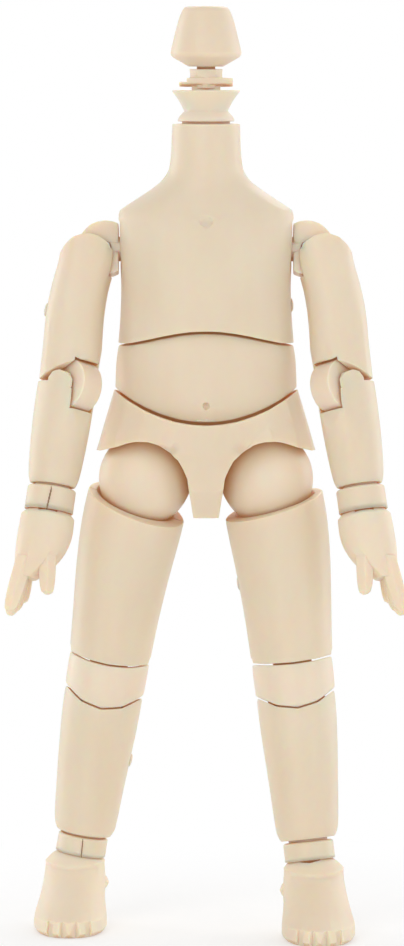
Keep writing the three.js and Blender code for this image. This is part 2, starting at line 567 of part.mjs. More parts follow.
const armStations = [
  { z: 1.4, wide: UPPER_ARM.width / 2 - 0.2, deep: UPPER_ARM.depth / 2 - 0.15, x: 1.9, power: 2.8 },
  { z: -2.4, wide: UPPER_ARM.width / 2 - 0.1, deep: UPPER_ARM.depth / 2, x: 1.95, power: 2.5 },
  { z: -5, wide: UPPER_ARM.width / 2 - 0.1, deep: UPPER_ARM.depth / 2, x: 2.35, power: 2.2 },
  { z: -8.5, wide: UPPER_ARM.width / 2, deep: UPPER_ARM.depth / 2, x: 2.5, power: 2.2 },
  { z: -12, wide: UPPER_ARM.width / 2 + 0.05, deep: UPPER_ARM.depth / 2, x: 2.2, power: 2.2 },
  {
    z: -UPPER_ARM.elbow,
    wide: UPPER_ARM.width / 2 - 0.1,
    deep: UPPER_ARM.depth / 2 - 0.1,
    x: UPPER_ARM.out,
  },
];

// Places a solid drawn round the elbow pin into the upper arm's frame
function atElbow(solid, turn) {
  return solid.translate([-ELBOW.inward, 0, 0]).rotate([0, 0, turn])
    .translate([UPPER_ARM.out, 0, -UPPER_ARM.elbow]);
}

function upperArm(turn) {
  const capRound = bar('y', UPPER_ARM.capRadius, -FAR, FAR, [UPPER_ARM.capOut, 0, -UPPER_ARM.capDown], SIDES)
    .add(box([-FAR, FAR], [-FAR, FAR], [-FAR, -UPPER_ARM.capDown]));
  const shoulderSlot = bar('y', SHOULDER.radius + RUN, -SHOULDER.thick / 2 - RUN, SHOULDER.thick / 2 + RUN,
    [0, 0, 0], SIDES);
  const slant = through([
    [8, ELBOW.cutLow], [2.9, ELBOW.cutLow + 0.05], [1.4, 1.2], [0.2, 1.9], [-2.3, 3.4], [-6, ELBOW.cutHigh],
    [-FAR, ELBOW.cutHigh], [-FAR, -FAR], [FAR, -FAR], [FAR, ELBOW.cutLow],
  ]);
  const slotHalf = ELBOW.thick / 2 + RUN;
  const elbowSlot = bar('y', ELBOW.radius + RUN, -slotHalf, slotHalf, [0, 0, 0], SIDES);
  const hollow = loft(inset(armStations, WALL), INNER_SIDES)
    .intersect(box([-FAR, FAR], [-FAR, FAR], [-FAR, -6]));
  return loft(armStations).intersect(capRound).subtract(shoulderSlot).subtract(armPinBore).subtract(hollow)
    .subtract(atElbow(slant.add(elbowSlot), turn));
}

// Disc between the two halves, with a tang up inside the upper arm
function elbowDisc() {
  const half = ELBOW.thick / 2;
  const disc = bar('y', ELBOW.radius, -half, half, [0, 0, 0], SIDES);
  const tangSides = [ELBOW.inward - TANG.half, ELBOW.inward + TANG.half];
  const tang = box(tangSides, [-TANG.half, TANG.half], [1, TANG.length]);
  return disc.add(tang).subtract(bar('y', PIN + FIT, -FAR, FAR, [0, 0, 0], PIN_SIDES));
}

const forearmStations = [
  { z: 1.6, wide: FOREARM.topWidth / 2 - 0.1, deep: FOREARM.depth / 2, x: ELBOW.inward, power: 2.2 },
  { z: -2, wide: FOREARM.topWidth / 2, deep: FOREARM.depth / 2, x: ELBOW.inward, power: 2.2 },
  { z: -5, wide: FOREARM.topWidth / 2, deep: FOREARM.depth / 2, x: ELBOW.inward, power: 2.1 },
  { z: -8.5, wide: FOREARM.wristWidth / 2 + 0.3, deep: FOREARM.wristWidth / 2 + 0.2, x: ELBOW.inward },
  { z: -11.2, wide: FOREARM.wristWidth / 2 + 0.05, deep: FOREARM.wristWidth / 2, x: ELBOW.inward },
  {
    z: -FOREARM.length,
    wide: FOREARM.wristWidth / 2 - 0.35,
    deep: FOREARM.wristWidth / 2 - 0.35,
    x: ELBOW.inward,
  },
];

function forearm() {
  const knuckle = bar('y', ELBOW.knuckle, -FAR, FAR);
  const face = through([
    [FAR, 0.1], [0.5, 0.1], [-ELBOW.knuckle, -0.6], [-1.7, -3], [-2.3, -6], [-FAR, -7],
    [-FAR, -FAR], [FAR, -FAR],
  ]).add(knuckle);
  const slotHalf = ELBOW.thick / 2 + RUN;
  const slot = bar('y', ELBOW.radius + RUN, -slotHalf, slotHalf, [0, 0, 0], SIDES);
  const hollow = loft(inset(forearmStations, WALL), INNER_SIDES)
    .intersect(box([-FAR, FAR], [-FAR, FAR], [-FOREARM.length + WRIST.floor, -2.6]));
  const pegBore = bar('z', WRIST.peg + FIT, -FAR, -5, [ELBOW.inward, 0, 0], PIN_SIDES);
  const recessTop = -FOREARM.length + SPIGOT_RISE + RUN;
  const recess = bar('z', CUFF.spigot + FIT, -FAR, recessTop, [ELBOW.inward, 0, 0]);
  return loft(forearmStations).intersect(face).subtract(slot).subtract(armPinBore).subtract(hollow)
    .subtract(pegBore).subtract(recess);
}

// Turned cuff: a peg up into the forearm, a hollow underside that glides on the hand, and a small ball
function wristCuff() {
  const centre = -WRIST.pivot;
  const under = WRIST.domeRadius + GLIDE;
  const lip = WRIST.radius - 0.04;
  const rise = (radius) => Math.sqrt(under ** 2 - radius ** 2);
  return turned([
    ...arcPoints(WRIST.ball, centre, -WRIST.ball, WRIST.ball * 0.8, 5),
    ...arcPoints(under, centre, rise(WRIST.stem), rise(lip), 3),
    [WRIST.radius, centre + rise(lip) + 0.08], [WRIST.radius, -RUN - 0.2], [WRIST.radius - 0.2, -RUN],
    [CUFF.spigot, -RUN], [CUFF.spigot, SPIGOT_RISE - RUN / 2], [WRIST.peg, SPIGOT_RISE - RUN / 2],
    [WRIST.peg, WRIST.floor + RUN], [CUFF.flange, WRIST.floor + RUN], [CUFF.flange, CUFF.flangeTop],
    [0, CUFF.flangeTop],
  ], CUFF_SIDES);
}

// A finger or thumb: a tapered round tube with a blunt tip
function finger(from, to, thick, deep) {
  const along = (share) => ({
    z: THREE.MathUtils.lerp(from[2], to[2], share),
    x: THREE.MathUtils.lerp(from[0], to[0], share),
    y: THREE.MathUtils.lerp(from[1], to[1], share),
  });
  return loft([
    { ...along(0), wide: thick, deep },
    { ...along(0.45), wide: thick, deep },
    { ...along(0.8), wide: thick * 0.92, deep: deep * 0.95 },
    { ...along(0.94), wide: thick * 0.7, deep: deep * 0.75 },
    { ...along(1), wide: thick * 0.3, deep: deep * 0.35 },
  ], 6);
}

function hand() {
  const half = HAND.width / 2;
  let palm = loft([
    { z: 3.9, wide: half - 0.4, deep: half - 0.4 },
    { z: 1.8, wide: half - 0.1, deep: half - 0.25, power: 2.2 },
    { z: 0, wide: half, deep: half - 0.25, power: 2.3 },
    { z: -2, wide: half - 0.3, deep: half - 0.35, x: 0.3, power: 2.3 },
    { z: -3.6, wide: half - 0.9, deep: half - 0.5, x: 0.7, power: 2.3 },
    { z: -5.4, wide: half - 1.9, deep: half - 0.7, x: 1.6, power: 2.2 },
  ], 16);
  const domed = ball(WRIST.domeRadius, [0, 0, 0], SIDES).add(box([-FAR, FAR], [-FAR, FAR], [-FAR, 1.9]));
  palm = palm.intersect(domed);
  // Outward lean of each fingertip, and how much shorter than the longest finger it is
  const tips = [[2.8, 0.3], [2.7, 0], [2.3, 0.7], [1.7, 1.9]];
  tips.forEach(([x, shorter], index) => {
    const y = (index - 1.5) * HAND.fingerStep;
    const tip = [x, y * 0.95, shorter - HAND.reach];
    palm = palm.add(finger([1.9, y, -3], tip, HAND.finger, HAND.fingerDeep));
  });
  palm = palm.add(finger([-0.6, -1.5, -1.5], [-1.3, -2.3, -HAND.thumb], HAND.finger, HAND.finger));
  const slot = sideways(fan(WRIST.stem + RUN, -WRIST.lean, WRIST.lean, 6), WRIST.stem + RUN);
  return palm.subtract(ball(WRIST.ball + RUN, [0, 0, 0], 12)).subtract(slot);
}

function buildArm(side, stance, parent) {
  const shoulderPlace = [SHOULDER.out, 0, SHOULDER.up - CHEST_AXIS];
  const swing = group(`${side}_shoulder_swing`, parent, shoulderPlace, [-stance.armForward, 0, 0]);
  piece(`${side}_shoulder_joint`, swing, shoulderJoint(), JOINT_PINK);

  const raise = group(`${side}_shoulder_raise`, swing, [0, 0, 0], [0, -stance.armOut, 0]);
  const casing = upperArm(stance.elbowTurn);
  piece(`${side}_upper_arm_front`, raise, frontHalf(casing), CREAM);
  piece(`${side}_upper_arm_back`, raise, backHalf(casing), CREAM);
  piece(`${side}_shoulder_pin`, raise, armPin, STEEL);

  const elbow = group('', raise, [UPPER_ARM.out, 0, -UPPER_ARM.elbow], [0, 0, stance.elbowTurn]);
  const pivot = [-ELBOW.inward, 0, 0];
  const discPlace = group('', elbow, pivot);
  piece(`${side}_elbow_disc`, discPlace, elbowDisc(), JOINT_PINK);

  const bend = group(`${side}_elbow_bend`, elbow, pivot);
  const lower = forearm().translate([-ELBOW.inward, 0, 0]).rotate([0, 0, stance.elbowTurn]);
  const back = (half) => half.rotate([0, 0, -stance.elbowTurn]).translate([ELBOW.inward, 0, 0]);
  piece(`${side}_forearm_front`, bend, back(frontHalf(lower)), CREAM);
  piece(`${side}_forearm_back`, bend, back(backHalf(lower)), CREAM);
  piece(`${side}_elbow_pin`, bend, armPin, STEEL);

  const wristPlace = [ELBOW.inward, 0, -FOREARM.length];
  const wrist = group(`${side}_wrist_turn`, bend, wristPlace, [0, 0, -stance.elbowTurn]);
  piece(`${side}_wrist_cuff`, wrist, wristCuff(), CREAM);
  const flex = group(`${side}_wrist_flex`, wrist, [0, 0, -WRIST.pivot]);
  piece(`${side}_hand`, flex, hand(), SOFT_CREAM);
}

buildArm('left', STANCE.left, chest);
const rightOfChest = group('', chest);
rightOfChest.scale.x = -1;
buildArm('right', STANCE.right, rightOfChest);

// Legs
function hipBall() {
  const slotHalf = HIP_PEG.radius + RUN;
  const outward = through(fan(slotHalf, HIP_PEG.inward, HIP_PEG.outward, 12), slotHalf).mirror([0, 0, 1]);
  const eyeRoom = bar('y', HIP_PEG.eye + RUN, -HIP_PEG.radius - RUN, HIP_PEG.radius + RUN);
  const pinBore = bar('y', PIN + FIT, -HIP_BALL + 1.1, FAR, [0, 0, 0], PIN_SIDES);
  const axle = bar('x', HIP_AXLE, RUN - HIP_SPACING / 2, -HIP_BALL + 1, [0, 0, 0], PIN_SIDES);
  return ball(HIP_BALL, [0, 0, 0], SIDES).add(axle).subtract(outward).subtract(eyeRoom).subtract(pinBore);
}

function hipPeg() {
  const eye = bar('y', HIP_PEG.eye, -HIP_PEG.radius, HIP_PEG.radius);
  const rod = bar('z', HIP_PEG.radius, -HIP_PEG.length, 0);
  const flange = bar('z', HIP_PEG.flange, -HIP_PEG.length, -THIGH.floor - RUN);
  return eye.add(rod).add(flange).subtract(bar('y', PIN + FIT, -FAR, FAR, [0, 0, 0], PIN_SIDES));
}

const thighStations = [
  { z: 0, wide: THIGH.width / 2 - 0.1, deep: THIGH.depth / 2, x: 0.3 },
  { z: -6, wide: THIGH.width / 2, deep: THIGH.depth / 2, x: 0.65 },
  { z: -12, wide: THIGH.width / 2 - 0.5, deep: THIGH.depth / 2 - 0.3, x: 0.8 },
  { z: -18, wide: THIGH.width / 2 - 1.0, deep: THIGH.depth / 2 - 0.9, x: 0.65 },
  { z: -THIGH.length - 2.5, wide: KNEE.width / 2, deep: KNEE.depth / 2, x: KNEE_OUT },
];

// Front view arcs of the knee band, in heights from the upper knee pin, drawn to twice the knee's width
function bandArc(side, sag, offset) {
  return archPoints(KNEE.width, side - 3 * sag + offset, 4 * sag);
}
const bandTop = (offset) => bandArc(BAND.topSide, BAND.topSag, offset);
const bandLow = (offset) => bandArc(BAND.lowSide, BAND.lowSag, offset);

// Room for one knee barrel between the cheeks of a casing, with a round boss on each cheek for the pin
function kneeSlot(height) {
  const half = KNEE.barrelLength / 2 + RUN;
  const reach = KNEE.barrel + RUN;
  return {
    room: bar('x', reach, -half, half, [KNEE_OUT, 0, height], SIDES),
    throat: (from, to) => box([KNEE_OUT - half, KNEE_OUT + half], [-reach, reach], [from, to]),
    bosses: bar('x', KNEE.boss, -half - 0.8, -half, [KNEE_OUT, 0, height])
      .add(bar('x', KNEE.boss, half, half + 0.8, [KNEE_OUT, 0, height])),
    bore: bar('x', PIN + FIT, -half - 0.7, half + 0.7, [KNEE_OUT, 0, height], PIN_SIDES),
  };
}

function thigh() {
  const above = box([-FAR, FAR], [-FAR, FAR], [0, FAR])
    .rotate([THIGH.rimFront, 0, 0]).rotate([0, -THIGH.rimTilt, 0]).translate([0, 0, -THIGH.rim]);
  const hollow = loft(inset(thighStations, WALL), INNER_SIDES)
    .intersect(box([-FAR, FAR], [-FAR, FAR], [-THIGH_HOLLOW, -THIGH.floor]));
  const knee = kneeSlot(-THIGH.length);
  const hem = through([...bandTop(SLIT), [-FAR, -FAR], [FAR, -FAR]]).translate([KNEE_OUT, 0, -THIGH.length]);
  const relief = sideways([
    [-1.2, -0.9], [1.0, -0.2], [KNEE.depth / 2, 1.0], [FAR, 1.0], [FAR, -FAR], [-1.2, -FAR],
  ]).translate([0, 0, -THIGH.length]);
  return loft(thighStations).subtract(above).subtract(hem).subtract(relief)
    .subtract(ball(HIP_BALL + RUN, [0, 0, 0], SIDES))
    .subtract(bar('z', HIP_PEG.radius + FIT, -THIGH.floor - 1, 0))
    .subtract(hollow).subtract(knee.room).subtract(knee.throat(-FAR, -THIGH.length))
    .add(knee.bosses).subtract(knee.bore);
}

// Knee piece: a barrel in the thigh, a barrel in the shin, and the curved band seen between them
function kneeJoint() {
  const half = KNEE.barrelLength / 2;
  const barrels = bar('x', KNEE.barrel, -half, half, [0, 0, 0], SIDES)
    .add(bar('x', KNEE.barrel, -half, half, [0, 0, -KNEE.link], SIDES));
  const web = box([-half, half], [-KNEE.web, KNEE.web], [-KNEE.link, 0]);
  const bridge = box([-half, half], [-KNEE.depth / 2 + KNEE.skin * 0.85, 0], [-KNEE.link + 1.2, -2.5]);
  const bandStations = [
    { z: -KNEE.link - 2, wide: SHIN.topWidth / 2, deep: KNEE.depth / 2 },
    { z: -KNEE.link / 2, wide: KNEE.width / 2, deep: KNEE.depth / 2 },
    { z: 0, wide: KNEE.width / 2, deep: KNEE.depth / 2 },
  ];
  const band = loft(bandStations).subtract(loft(inset(bandStations, KNEE.skin), SIDES))
    .subtract(through([...bandTop(0), [-FAR, FAR], [FAR, FAR]]))
    .subtract(through([...bandLow(0), [-FAR, -FAR], [FAR, -FAR]]))
    .intersect(box([-FAR, FAR], [-FAR, BAND.back], [-FAR, FAR]));
  const bores = bar('x', PIN + FIT, -FAR, FAR, [0, 0, 0], PIN_SIDES)
    .add(bar('x', PIN + FIT, -FAR, FAR, [0, 0, -KNEE.link], PIN_SIDES));
  return barrels.add(web).add(bridge).add(band).subtract(bores);
}

const shinStations = [
  { z: 3, wide: SHIN.topWidth / 2, deep: KNEE.depth / 2, x: KNEE_OUT },
  { z: -3, wide: SHIN.topWidth / 2 - 0.1, deep: KNEE.depth / 2 - 0.1, x: 0.45 },
  { z: -8.5, wide: SHIN.topWidth / 2 - 0.55, deep: KNEE.depth / 2 - 0.5, x: 0.3 },
  { z: -13, wide: SHIN.ankleWidth / 2 + 0.15, deep: SHIN.ankleWidth / 2 + 0.1, x: 0.15 },
  { z: SHIN.bottom + 0.8 - SHIN.length, wide: SHIN.ankleWidth / 2, deep: SHIN.ankleWidth / 2, x: 0.05 },
  { z: SHIN.bottom - SHIN.length, wide: SHIN.ankleWidth / 2 - 0.5, deep: SHIN.ankleWidth / 2 - 0.5 },
];

function shin() {
  const bottom = SHIN.bottom - SHIN.length;
  const hollow = loft(inset(shinStations, WALL), INNER_SIDES)
    .intersect(box([-FAR, FAR], [-FAR, FAR], [bottom + SHIN.floor, -3]));
  const knee = kneeSlot(0);
  const hem = through([...bandLow(KNEE.link - SLIT), [-FAR, FAR], [FAR, FAR]]).translate([KNEE_OUT, 0, 0]);
  const relief = sideways([
    [-1.2, 1.5], [1.2, 0.4], [KNEE.depth / 2, -1.0], [FAR, -1.0], [FAR, FAR], [-1.2, FAR],
  ]);
  const pegBore = bar('z', ANKLE.peg + FIT, bottom - 1, bottom + SHIN.floor + 1)
    .add(bar('z', ANKLE_SPIGOT + FIT, bottom - 1, bottom + SPIGOT_RISE + RUN));
  return loft(shinStations).subtract(hem).subtract(relief)
    .subtract(hollow).subtract(knee.room).subtract(knee.throat(0, FAR))
    .add(knee.bosses).subtract(knee.bore).subtract(pegBore);
}

// Turned ankle collar with a peg up into the shin, and a stem down to a cross bar inside the foot
function ankleCollar() {
  const under = ANKLE.domeRadius + GLIDE;
  const lip = ANKLE.radius - 0.04;
  const rise = (radius) => Math.sqrt(under ** 2 - radius ** 2);
  const floor = SHIN.bottom + SHIN.floor;
  const top = SHIN.bottom - RUN;
  const spigotTop = SHIN.bottom + SPIGOT_RISE - RUN / 2;
  const body = turned([
    [0, 0], [ANKLE.stem, 0], ...arcPoints(under, 0, rise(ANKLE.stem), rise(lip), 3),
    [ANKLE.radius, rise(lip) + 0.08], [ANKLE.radius, top - 0.2], [ANKLE.radius - 0.2, top],
    [ANKLE_SPIGOT, top], [ANKLE_SPIGOT, spigotTop], [ANKLE.peg, spigotTop],
    [ANKLE.peg, floor + RUN], [CUFF.flange, floor + RUN], [CUFF.flange, floor + 1.1], [0, floor + 1.1],
  ], CUFF_SIDES);
  return body.add(bar('y', PIN, -ANKLE.ball + 0.9, ANKLE.ball - 0.9, [0, 0, 0], PIN_SIDES));
}

function ankleBall() {
  const slot = through(fan(ANKLE.stem + RUN, -ANKLE.rollIn, ANKLE.rollIn, 6), ANKLE.stem + RUN);
  const crossBore = bar('y', PIN + FIT, -ANKLE.ball + 0.7, ANKLE.ball - 0.7, [0, 0, 0], PIN_SIDES);
  const stemRoom = bar('y', ANKLE.stem + RUN, -ANKLE.stem - RUN, ANKLE.stem + RUN);
  return ball(ANKLE.ball, [0, 0, 0], 12).subtract(slot).subtract(stemRoom).subtract(crossBore);
}

function foot() {
  const sole = -ANKLE.above;
  const half = FOOT.width / 2;
  const long = FOOT.length / 2;
  const stations = [
    { z: sole, wide: half - 0.4, deep: long - 0.4, y: -FOOT.forward, x: FOOT.middle, power: 2.3 },
    { z: sole + 0.5, wide: half, deep: long, y: -FOOT.forward, x: FOOT.middle, power: 2.3 },
    { z: sole + 1.8, wide: half, deep: long - 0.2, y: -FOOT.forward + 0.1, x: FOOT.middle, power: 2.3 },
    { z: sole + 2.8, wide: half - 0.3, deep: long - 1.2, y: -FOOT.forward + 1.0, x: 0.4, power: 2.2 },
    { z: sole + 5, wide: half - 0.6, deep: long - 2.6, y: -1.5, x: 0.1 },
    { z: sole + 7, wide: FOOT.ankleWidth / 2, deep: FOOT.ankleWidth / 2 + 0.2, y: -0.1 },
    { z: ANKLE.domeRadius, wide: FOOT.ankleWidth / 2, deep: FOOT.ankleWidth / 2 + 0.1 },
  ];
  const lean = Math.tan(ANKLE.flex * DEG) * 6;
  const opening = loft([
    { z: 0, wide: ANKLE.stem + RUN, deep: ANKLE.stem + RUN },
    { z: 6, wide: ANKLE.stem + RUN + 1.0, deep: ANKLE.stem + RUN + lean, x: -0.75 },
  ], 10);
  const shoulder = 2.4; // height above the ankle's middle where the domed top begins
  const dome = turned([[0, shoulder - 1], ...arcPoints(ANKLE.domeRadius, 0, shoulder, ANKLE.domeRadius, 7)])
    .add(box([-FAR, FAR], [-FAR, FAR], [-FAR, shoulder]));
  const innerBone = ball(FOOT.bone, [FOOT.bone / 2 - FOOT.ankleWidth / 2, -0.6, 0.2], PIN_SIDES);
  let body = loft(stations).intersect(dome).add(innerBone);
  body = body.subtract(ball(ANKLE.ball + RUN, [0, 0, 0], 12)).subtract(opening);
  const spacing = (FOOT.width - 0.6) / TOES.count;
  for (let gap = 1; gap < TOES.count; gap += 1) {
    const across = (gap - TOES.count / 2) * spacing;
    const tip = -FOOT.forward - long * (1 - (Math.abs(across) / half) ** 2.3) ** (1 / 2.3);
    const place = [FOOT.middle + across, tip, 0];
    body = body.subtract(bar('z', TOES.groove, -FAR, FAR, place, 4));
  }
  return body;
}

function buildLeg(side, stance, parent) {
  const swing = group(`${side}_hip_swing`, parent, [HIP_SPACING / 2, 0, 0], [-stance.legForward, 0, 0]);
  piece(`${side}_hip_ball`, swing, hipBall(), JOINT_PINK);
  const hipPin = bar('y', PIN, -HIP_BALL + 1.3, HIP_BALL - 1.3, [0, 0, 0], PIN_SIDES);
  piece(`${side}_hip_pin`, swing, hipPin, STEEL);

  const spread = group(`${side}_hip_spread`, swing, [0, 0, 0], [0, -stance.legOut, 0]);
  piece(`${side}_hip_peg`, spread, hipPeg(), JOINT_PINK);

  const kneePinHalf = KNEE.barrelLength / 2 + RUN + 0.5;
  const kneePin = () => bar('x', PIN, -kneePinHalf, kneePinHalf, [0, 0, 0], PIN_SIDES);
  const twist = group(`${side}_hip_twist`, spread);
  const thighCasing = thigh();
  piece(`${side}_thigh_front`, twist, frontHalf(thighCasing), CREAM);
  piece(`${side}_thigh_back`, twist, backHalf(thighCasing), CREAM);
  piece(`${side}_upper_knee_pin`, group('', twist, [KNEE_OUT, 0, -THIGH.length]), kneePin(), STEEL);

  const upper = group(`${side}_knee_upper`, twist, [KNEE_OUT, 0, -THIGH.length]);
  piece(`${side}_knee_joint`, upper, kneeJoint(), JOINT_PINK);

  const lower = group(`${side}_knee_lower`, upper, [0, 0, -KNEE.link]);
  const shinCasing = shin().translate([-KNEE_OUT, 0, 0]);
  piece(`${side}_shin_front`, lower, frontHalf(shinCasing), CREAM);
  piece(`${side}_shin_back`, lower, backHalf(shinCasing), CREAM);
  piece(`${side}_lower_knee_pin`, lower, kneePin(), STEEL);

  const turn = group(`${side}_ankle_turn`, lower, [-KNEE_OUT, 0, -SHIN.length]);
  piece(`${side}_ankle_collar`, turn, ankleCollar(), CREAM);
  const roll = group(`${side}_ankle_roll`, turn, [0, 0, 0], [0, stance.legOut, 0]);
  piece(`${side}_ankle_ball`, roll, ankleBall(), JOINT_PINK);
  const flex = group(`${side}_foot_flex`, roll, [0, 0, 0], [stance.legForward, 0, 0]);
  piece(`${side}_foot`, flex, foot(), SOFT_CREAM);
}

buildLeg('left', STANCE.left, pelvis);
const rightOfPelvis = group('', pelvis);
rightOfPelvis.scale.x = -1;
buildLeg('right', STANCE.right, rightOfPelvis);

// Stands the doll with the middle of its outline on the origin
const middle = new THREE.Box3().setFromObject(doll).getCenter(new THREE.Vector3());
pelvis.position.x -= middle.x;
pelvis.position.y -= middle.y;

export default doll;
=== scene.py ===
# %% [markdown]
# # A jointed doll in moulded plastic
#
# This scene dresses the solids of a standing jointed doll. The real one is hard cream plastic:
# hollow casings, each moulded as a front and a back half, with joint pieces of a slightly paler
# resin between them, and soft hands and feet. The solids arrive as plain facets. Here they get
# rounded edges, smooth walls and the look of plastic that lets a little light in.

import json
import math

import bmesh
import bpy
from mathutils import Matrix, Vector
from mathutils.bvhtree import BVHTree

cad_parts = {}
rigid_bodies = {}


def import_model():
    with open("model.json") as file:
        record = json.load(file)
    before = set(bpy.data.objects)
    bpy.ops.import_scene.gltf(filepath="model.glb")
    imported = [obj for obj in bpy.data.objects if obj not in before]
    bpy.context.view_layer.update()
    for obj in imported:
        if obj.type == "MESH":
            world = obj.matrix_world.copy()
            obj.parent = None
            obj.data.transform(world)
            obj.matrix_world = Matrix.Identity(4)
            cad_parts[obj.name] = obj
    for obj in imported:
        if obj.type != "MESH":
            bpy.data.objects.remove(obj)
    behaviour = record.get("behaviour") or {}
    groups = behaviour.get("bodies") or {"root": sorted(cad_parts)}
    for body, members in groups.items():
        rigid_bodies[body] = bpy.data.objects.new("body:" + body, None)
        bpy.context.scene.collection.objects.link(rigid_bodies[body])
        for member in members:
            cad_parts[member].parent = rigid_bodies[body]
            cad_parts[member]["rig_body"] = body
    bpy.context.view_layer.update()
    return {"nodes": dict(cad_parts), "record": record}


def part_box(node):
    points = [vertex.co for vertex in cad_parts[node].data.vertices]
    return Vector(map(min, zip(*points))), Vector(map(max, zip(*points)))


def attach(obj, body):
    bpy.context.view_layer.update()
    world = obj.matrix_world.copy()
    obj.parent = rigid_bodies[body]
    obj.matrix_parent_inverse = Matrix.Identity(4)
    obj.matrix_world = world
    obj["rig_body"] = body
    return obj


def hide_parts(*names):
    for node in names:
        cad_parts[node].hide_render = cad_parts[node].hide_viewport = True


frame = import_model()
MM = 0.001

# %% [markdown]
# ## The skin of moulded plastic
#
# Plastic out of a mould is never one colour. The resin flows in streaks too faint to name, and
# handling leaves some places a little glossier. An image could carry this, but every piece would
# have to be unwrapped for it. Node groups need no unwrapping, and each finish can use them with its
# own strength. They read Object coordinates, because each piece keeps its place in its mesh and
# sits at the origin.

# %% Helpers: a new node group, and noise in Object coordinates
def new_group(name, inputs, outputs):
    group = bpy.data.node_groups.new(name, "ShaderNodeTree")
    for label, kind, value in inputs:
        socket = group.interface.new_socket(name=label, in_out="INPUT", socket_type=kind)
        socket.default_value = value
    for label, kind in outputs:
        group.interface.new_socket(name=label, in_out="OUTPUT", socket_type=kind)
    return group, group.nodes.new("NodeGroupInput"), group.nodes.new("NodeGroupOutput")


def object_noise(group, scale, detail, stretch=(1, 1, 1)):
    coordinates = group.nodes.new("ShaderNodeTexCoord")
    mapping = group.nodes.new("ShaderNodeMapping")
    mapping.inputs["Scale"].default_value = stretch
    noise = group.nodes.new("ShaderNodeTexNoise")
    noise.inputs["Scale"].default_value = scale
    noise.inputs["Detail"].default_value = detail
    group.links.new(coordinates.outputs["Object"], mapping.inputs["Vector"])
    group.links.new(mapping.outputs["Vector"], noise.inputs["Vector"])
    return noise


def socket_names(group):
    return [item.name for item in group.interface.items_tree]


# %% [markdown]
# The tone of a resin lies between a pale and a deep colour. Wide clouds and streaks drawn out in
# height are multiplied, so the deep colour shows only where both are strong.

# %% Tone group: faint clouds and streaks in the colour
CLOUD_SCALE = 60
STREAK_SCALE = 220
STREAK_STRETCH = (1, 1, 0.25)


def build_tone_group():
    group, given, result = new_group(
        "resin_tone",
        [
            ("Pale", "NodeSocketColor", (0.8, 0.7, 0.55, 1)),
            ("Deep", "NodeSocketColor", (0.7, 0.5, 0.35, 1)),
            ("Strength", "NodeSocketFloat", 0.5),
        ],
        [("Color", "NodeSocketColor")],
    )
    cloud = object_noise(group, CLOUD_SCALE, detail=4)
    streak = object_noise(group, STREAK_SCALE, detail=3, stretch=STREAK_STRETCH)
    both = group.nodes.new("ShaderNodeMath")
    both.operation = "MULTIPLY"
    share = group.nodes.new("ShaderNodeMath")
    share.operation = "MULTIPLY"
    blend = group.nodes.new("ShaderNodeMix")
    blend.data_type = "RGBA"
    links = group.links
    links.new(cloud.outputs["Fac"], both.inputs[0])
    links.new(streak.outputs["Fac"], both.inputs[1])
    links.new(both.outputs[0], share.inputs[0])
    links.new(given.outputs["Strength"], share.inputs[1])
    links.new(share.outputs[0], blend.inputs["Factor"])
    links.new(given.outputs["Pale"], blend.inputs["A"])
    links.new(given.outputs["Deep"], blend.inputs["B"])
    links.new(blend.outputs["Result"], result.inputs["Color"])
    return group


resin_tone = build_tone_group()
print("tone group sockets:", socket_names(resin_tone))

# %% [markdown]
# The mould is polished or spark-eroded steel, and it prints a fine grain on the part. The grain is
# only hundredths of a millimetre deep. It could be displaced in the mesh, but that would take
# millions of faces, so it becomes a bump.

# %% Grain group: mould texture as a height, and the roughness that goes with it
GRAIN_SCALE = 2600
WAVE_SCALE = 180


def build_grain_group():
    group, given, result = new_group(
        "mould_grain",
        [
            ("Coarse", "NodeSocketFloat", 0.3),
            ("Gloss low", "NodeSocketFloat", 0.4),
            ("Gloss high", "NodeSocketFloat", 0.55),
        ],
        [("Height", "NodeSocketFloat"), ("Roughness", "NodeSocketFloat")],
    )
    fine = object_noise(group, GRAIN_SCALE, detail=2)
    wavy = object_noise(group, WAVE_SCALE, detail=2)
    blend = group.nodes.new("ShaderNodeMix")
    gloss = group.nodes.new("ShaderNodeMapRange")
    links = group.links
    links.new(given.outputs["Coarse"], blend.inputs["Factor"])
    links.new(fine.outputs["Fac"], blend.inputs["A"])
    links.new(wavy.outputs["Fac"], blend.inputs["B"])
    links.new(blend.outputs["Result"], result.inputs["Height"])
    links.new(wavy.outputs["Fac"], gloss.inputs["Value"])
    links.new(given.outputs["Gloss low"], gloss.inputs["To Min"])
    links.new(given.outputs["Gloss high"], gloss.inputs["To Max"])
    links.new(gloss.outputs["Result"], result.inputs["Roughness"])
    return group


mould_grain = build_grain_group()
print("grain group sockets:", socket_names(mould_grain))

# %% [markdown]
# In the photo the narrow gaps are a dark orange and not black: light that has passed through the
# plastic fills them. A renderer would need very many bounces for that. An occlusion mask finds the
# narrow places instead. There a painted shade turns the colour to a darker amber, and a faint
# painted glow of the same amber stands for the light that came through.

# %% Gap group: painted amber shade and glow in the narrow places
GAP_REACH = 8 * MM
OPEN_ENOUGH = 0.3


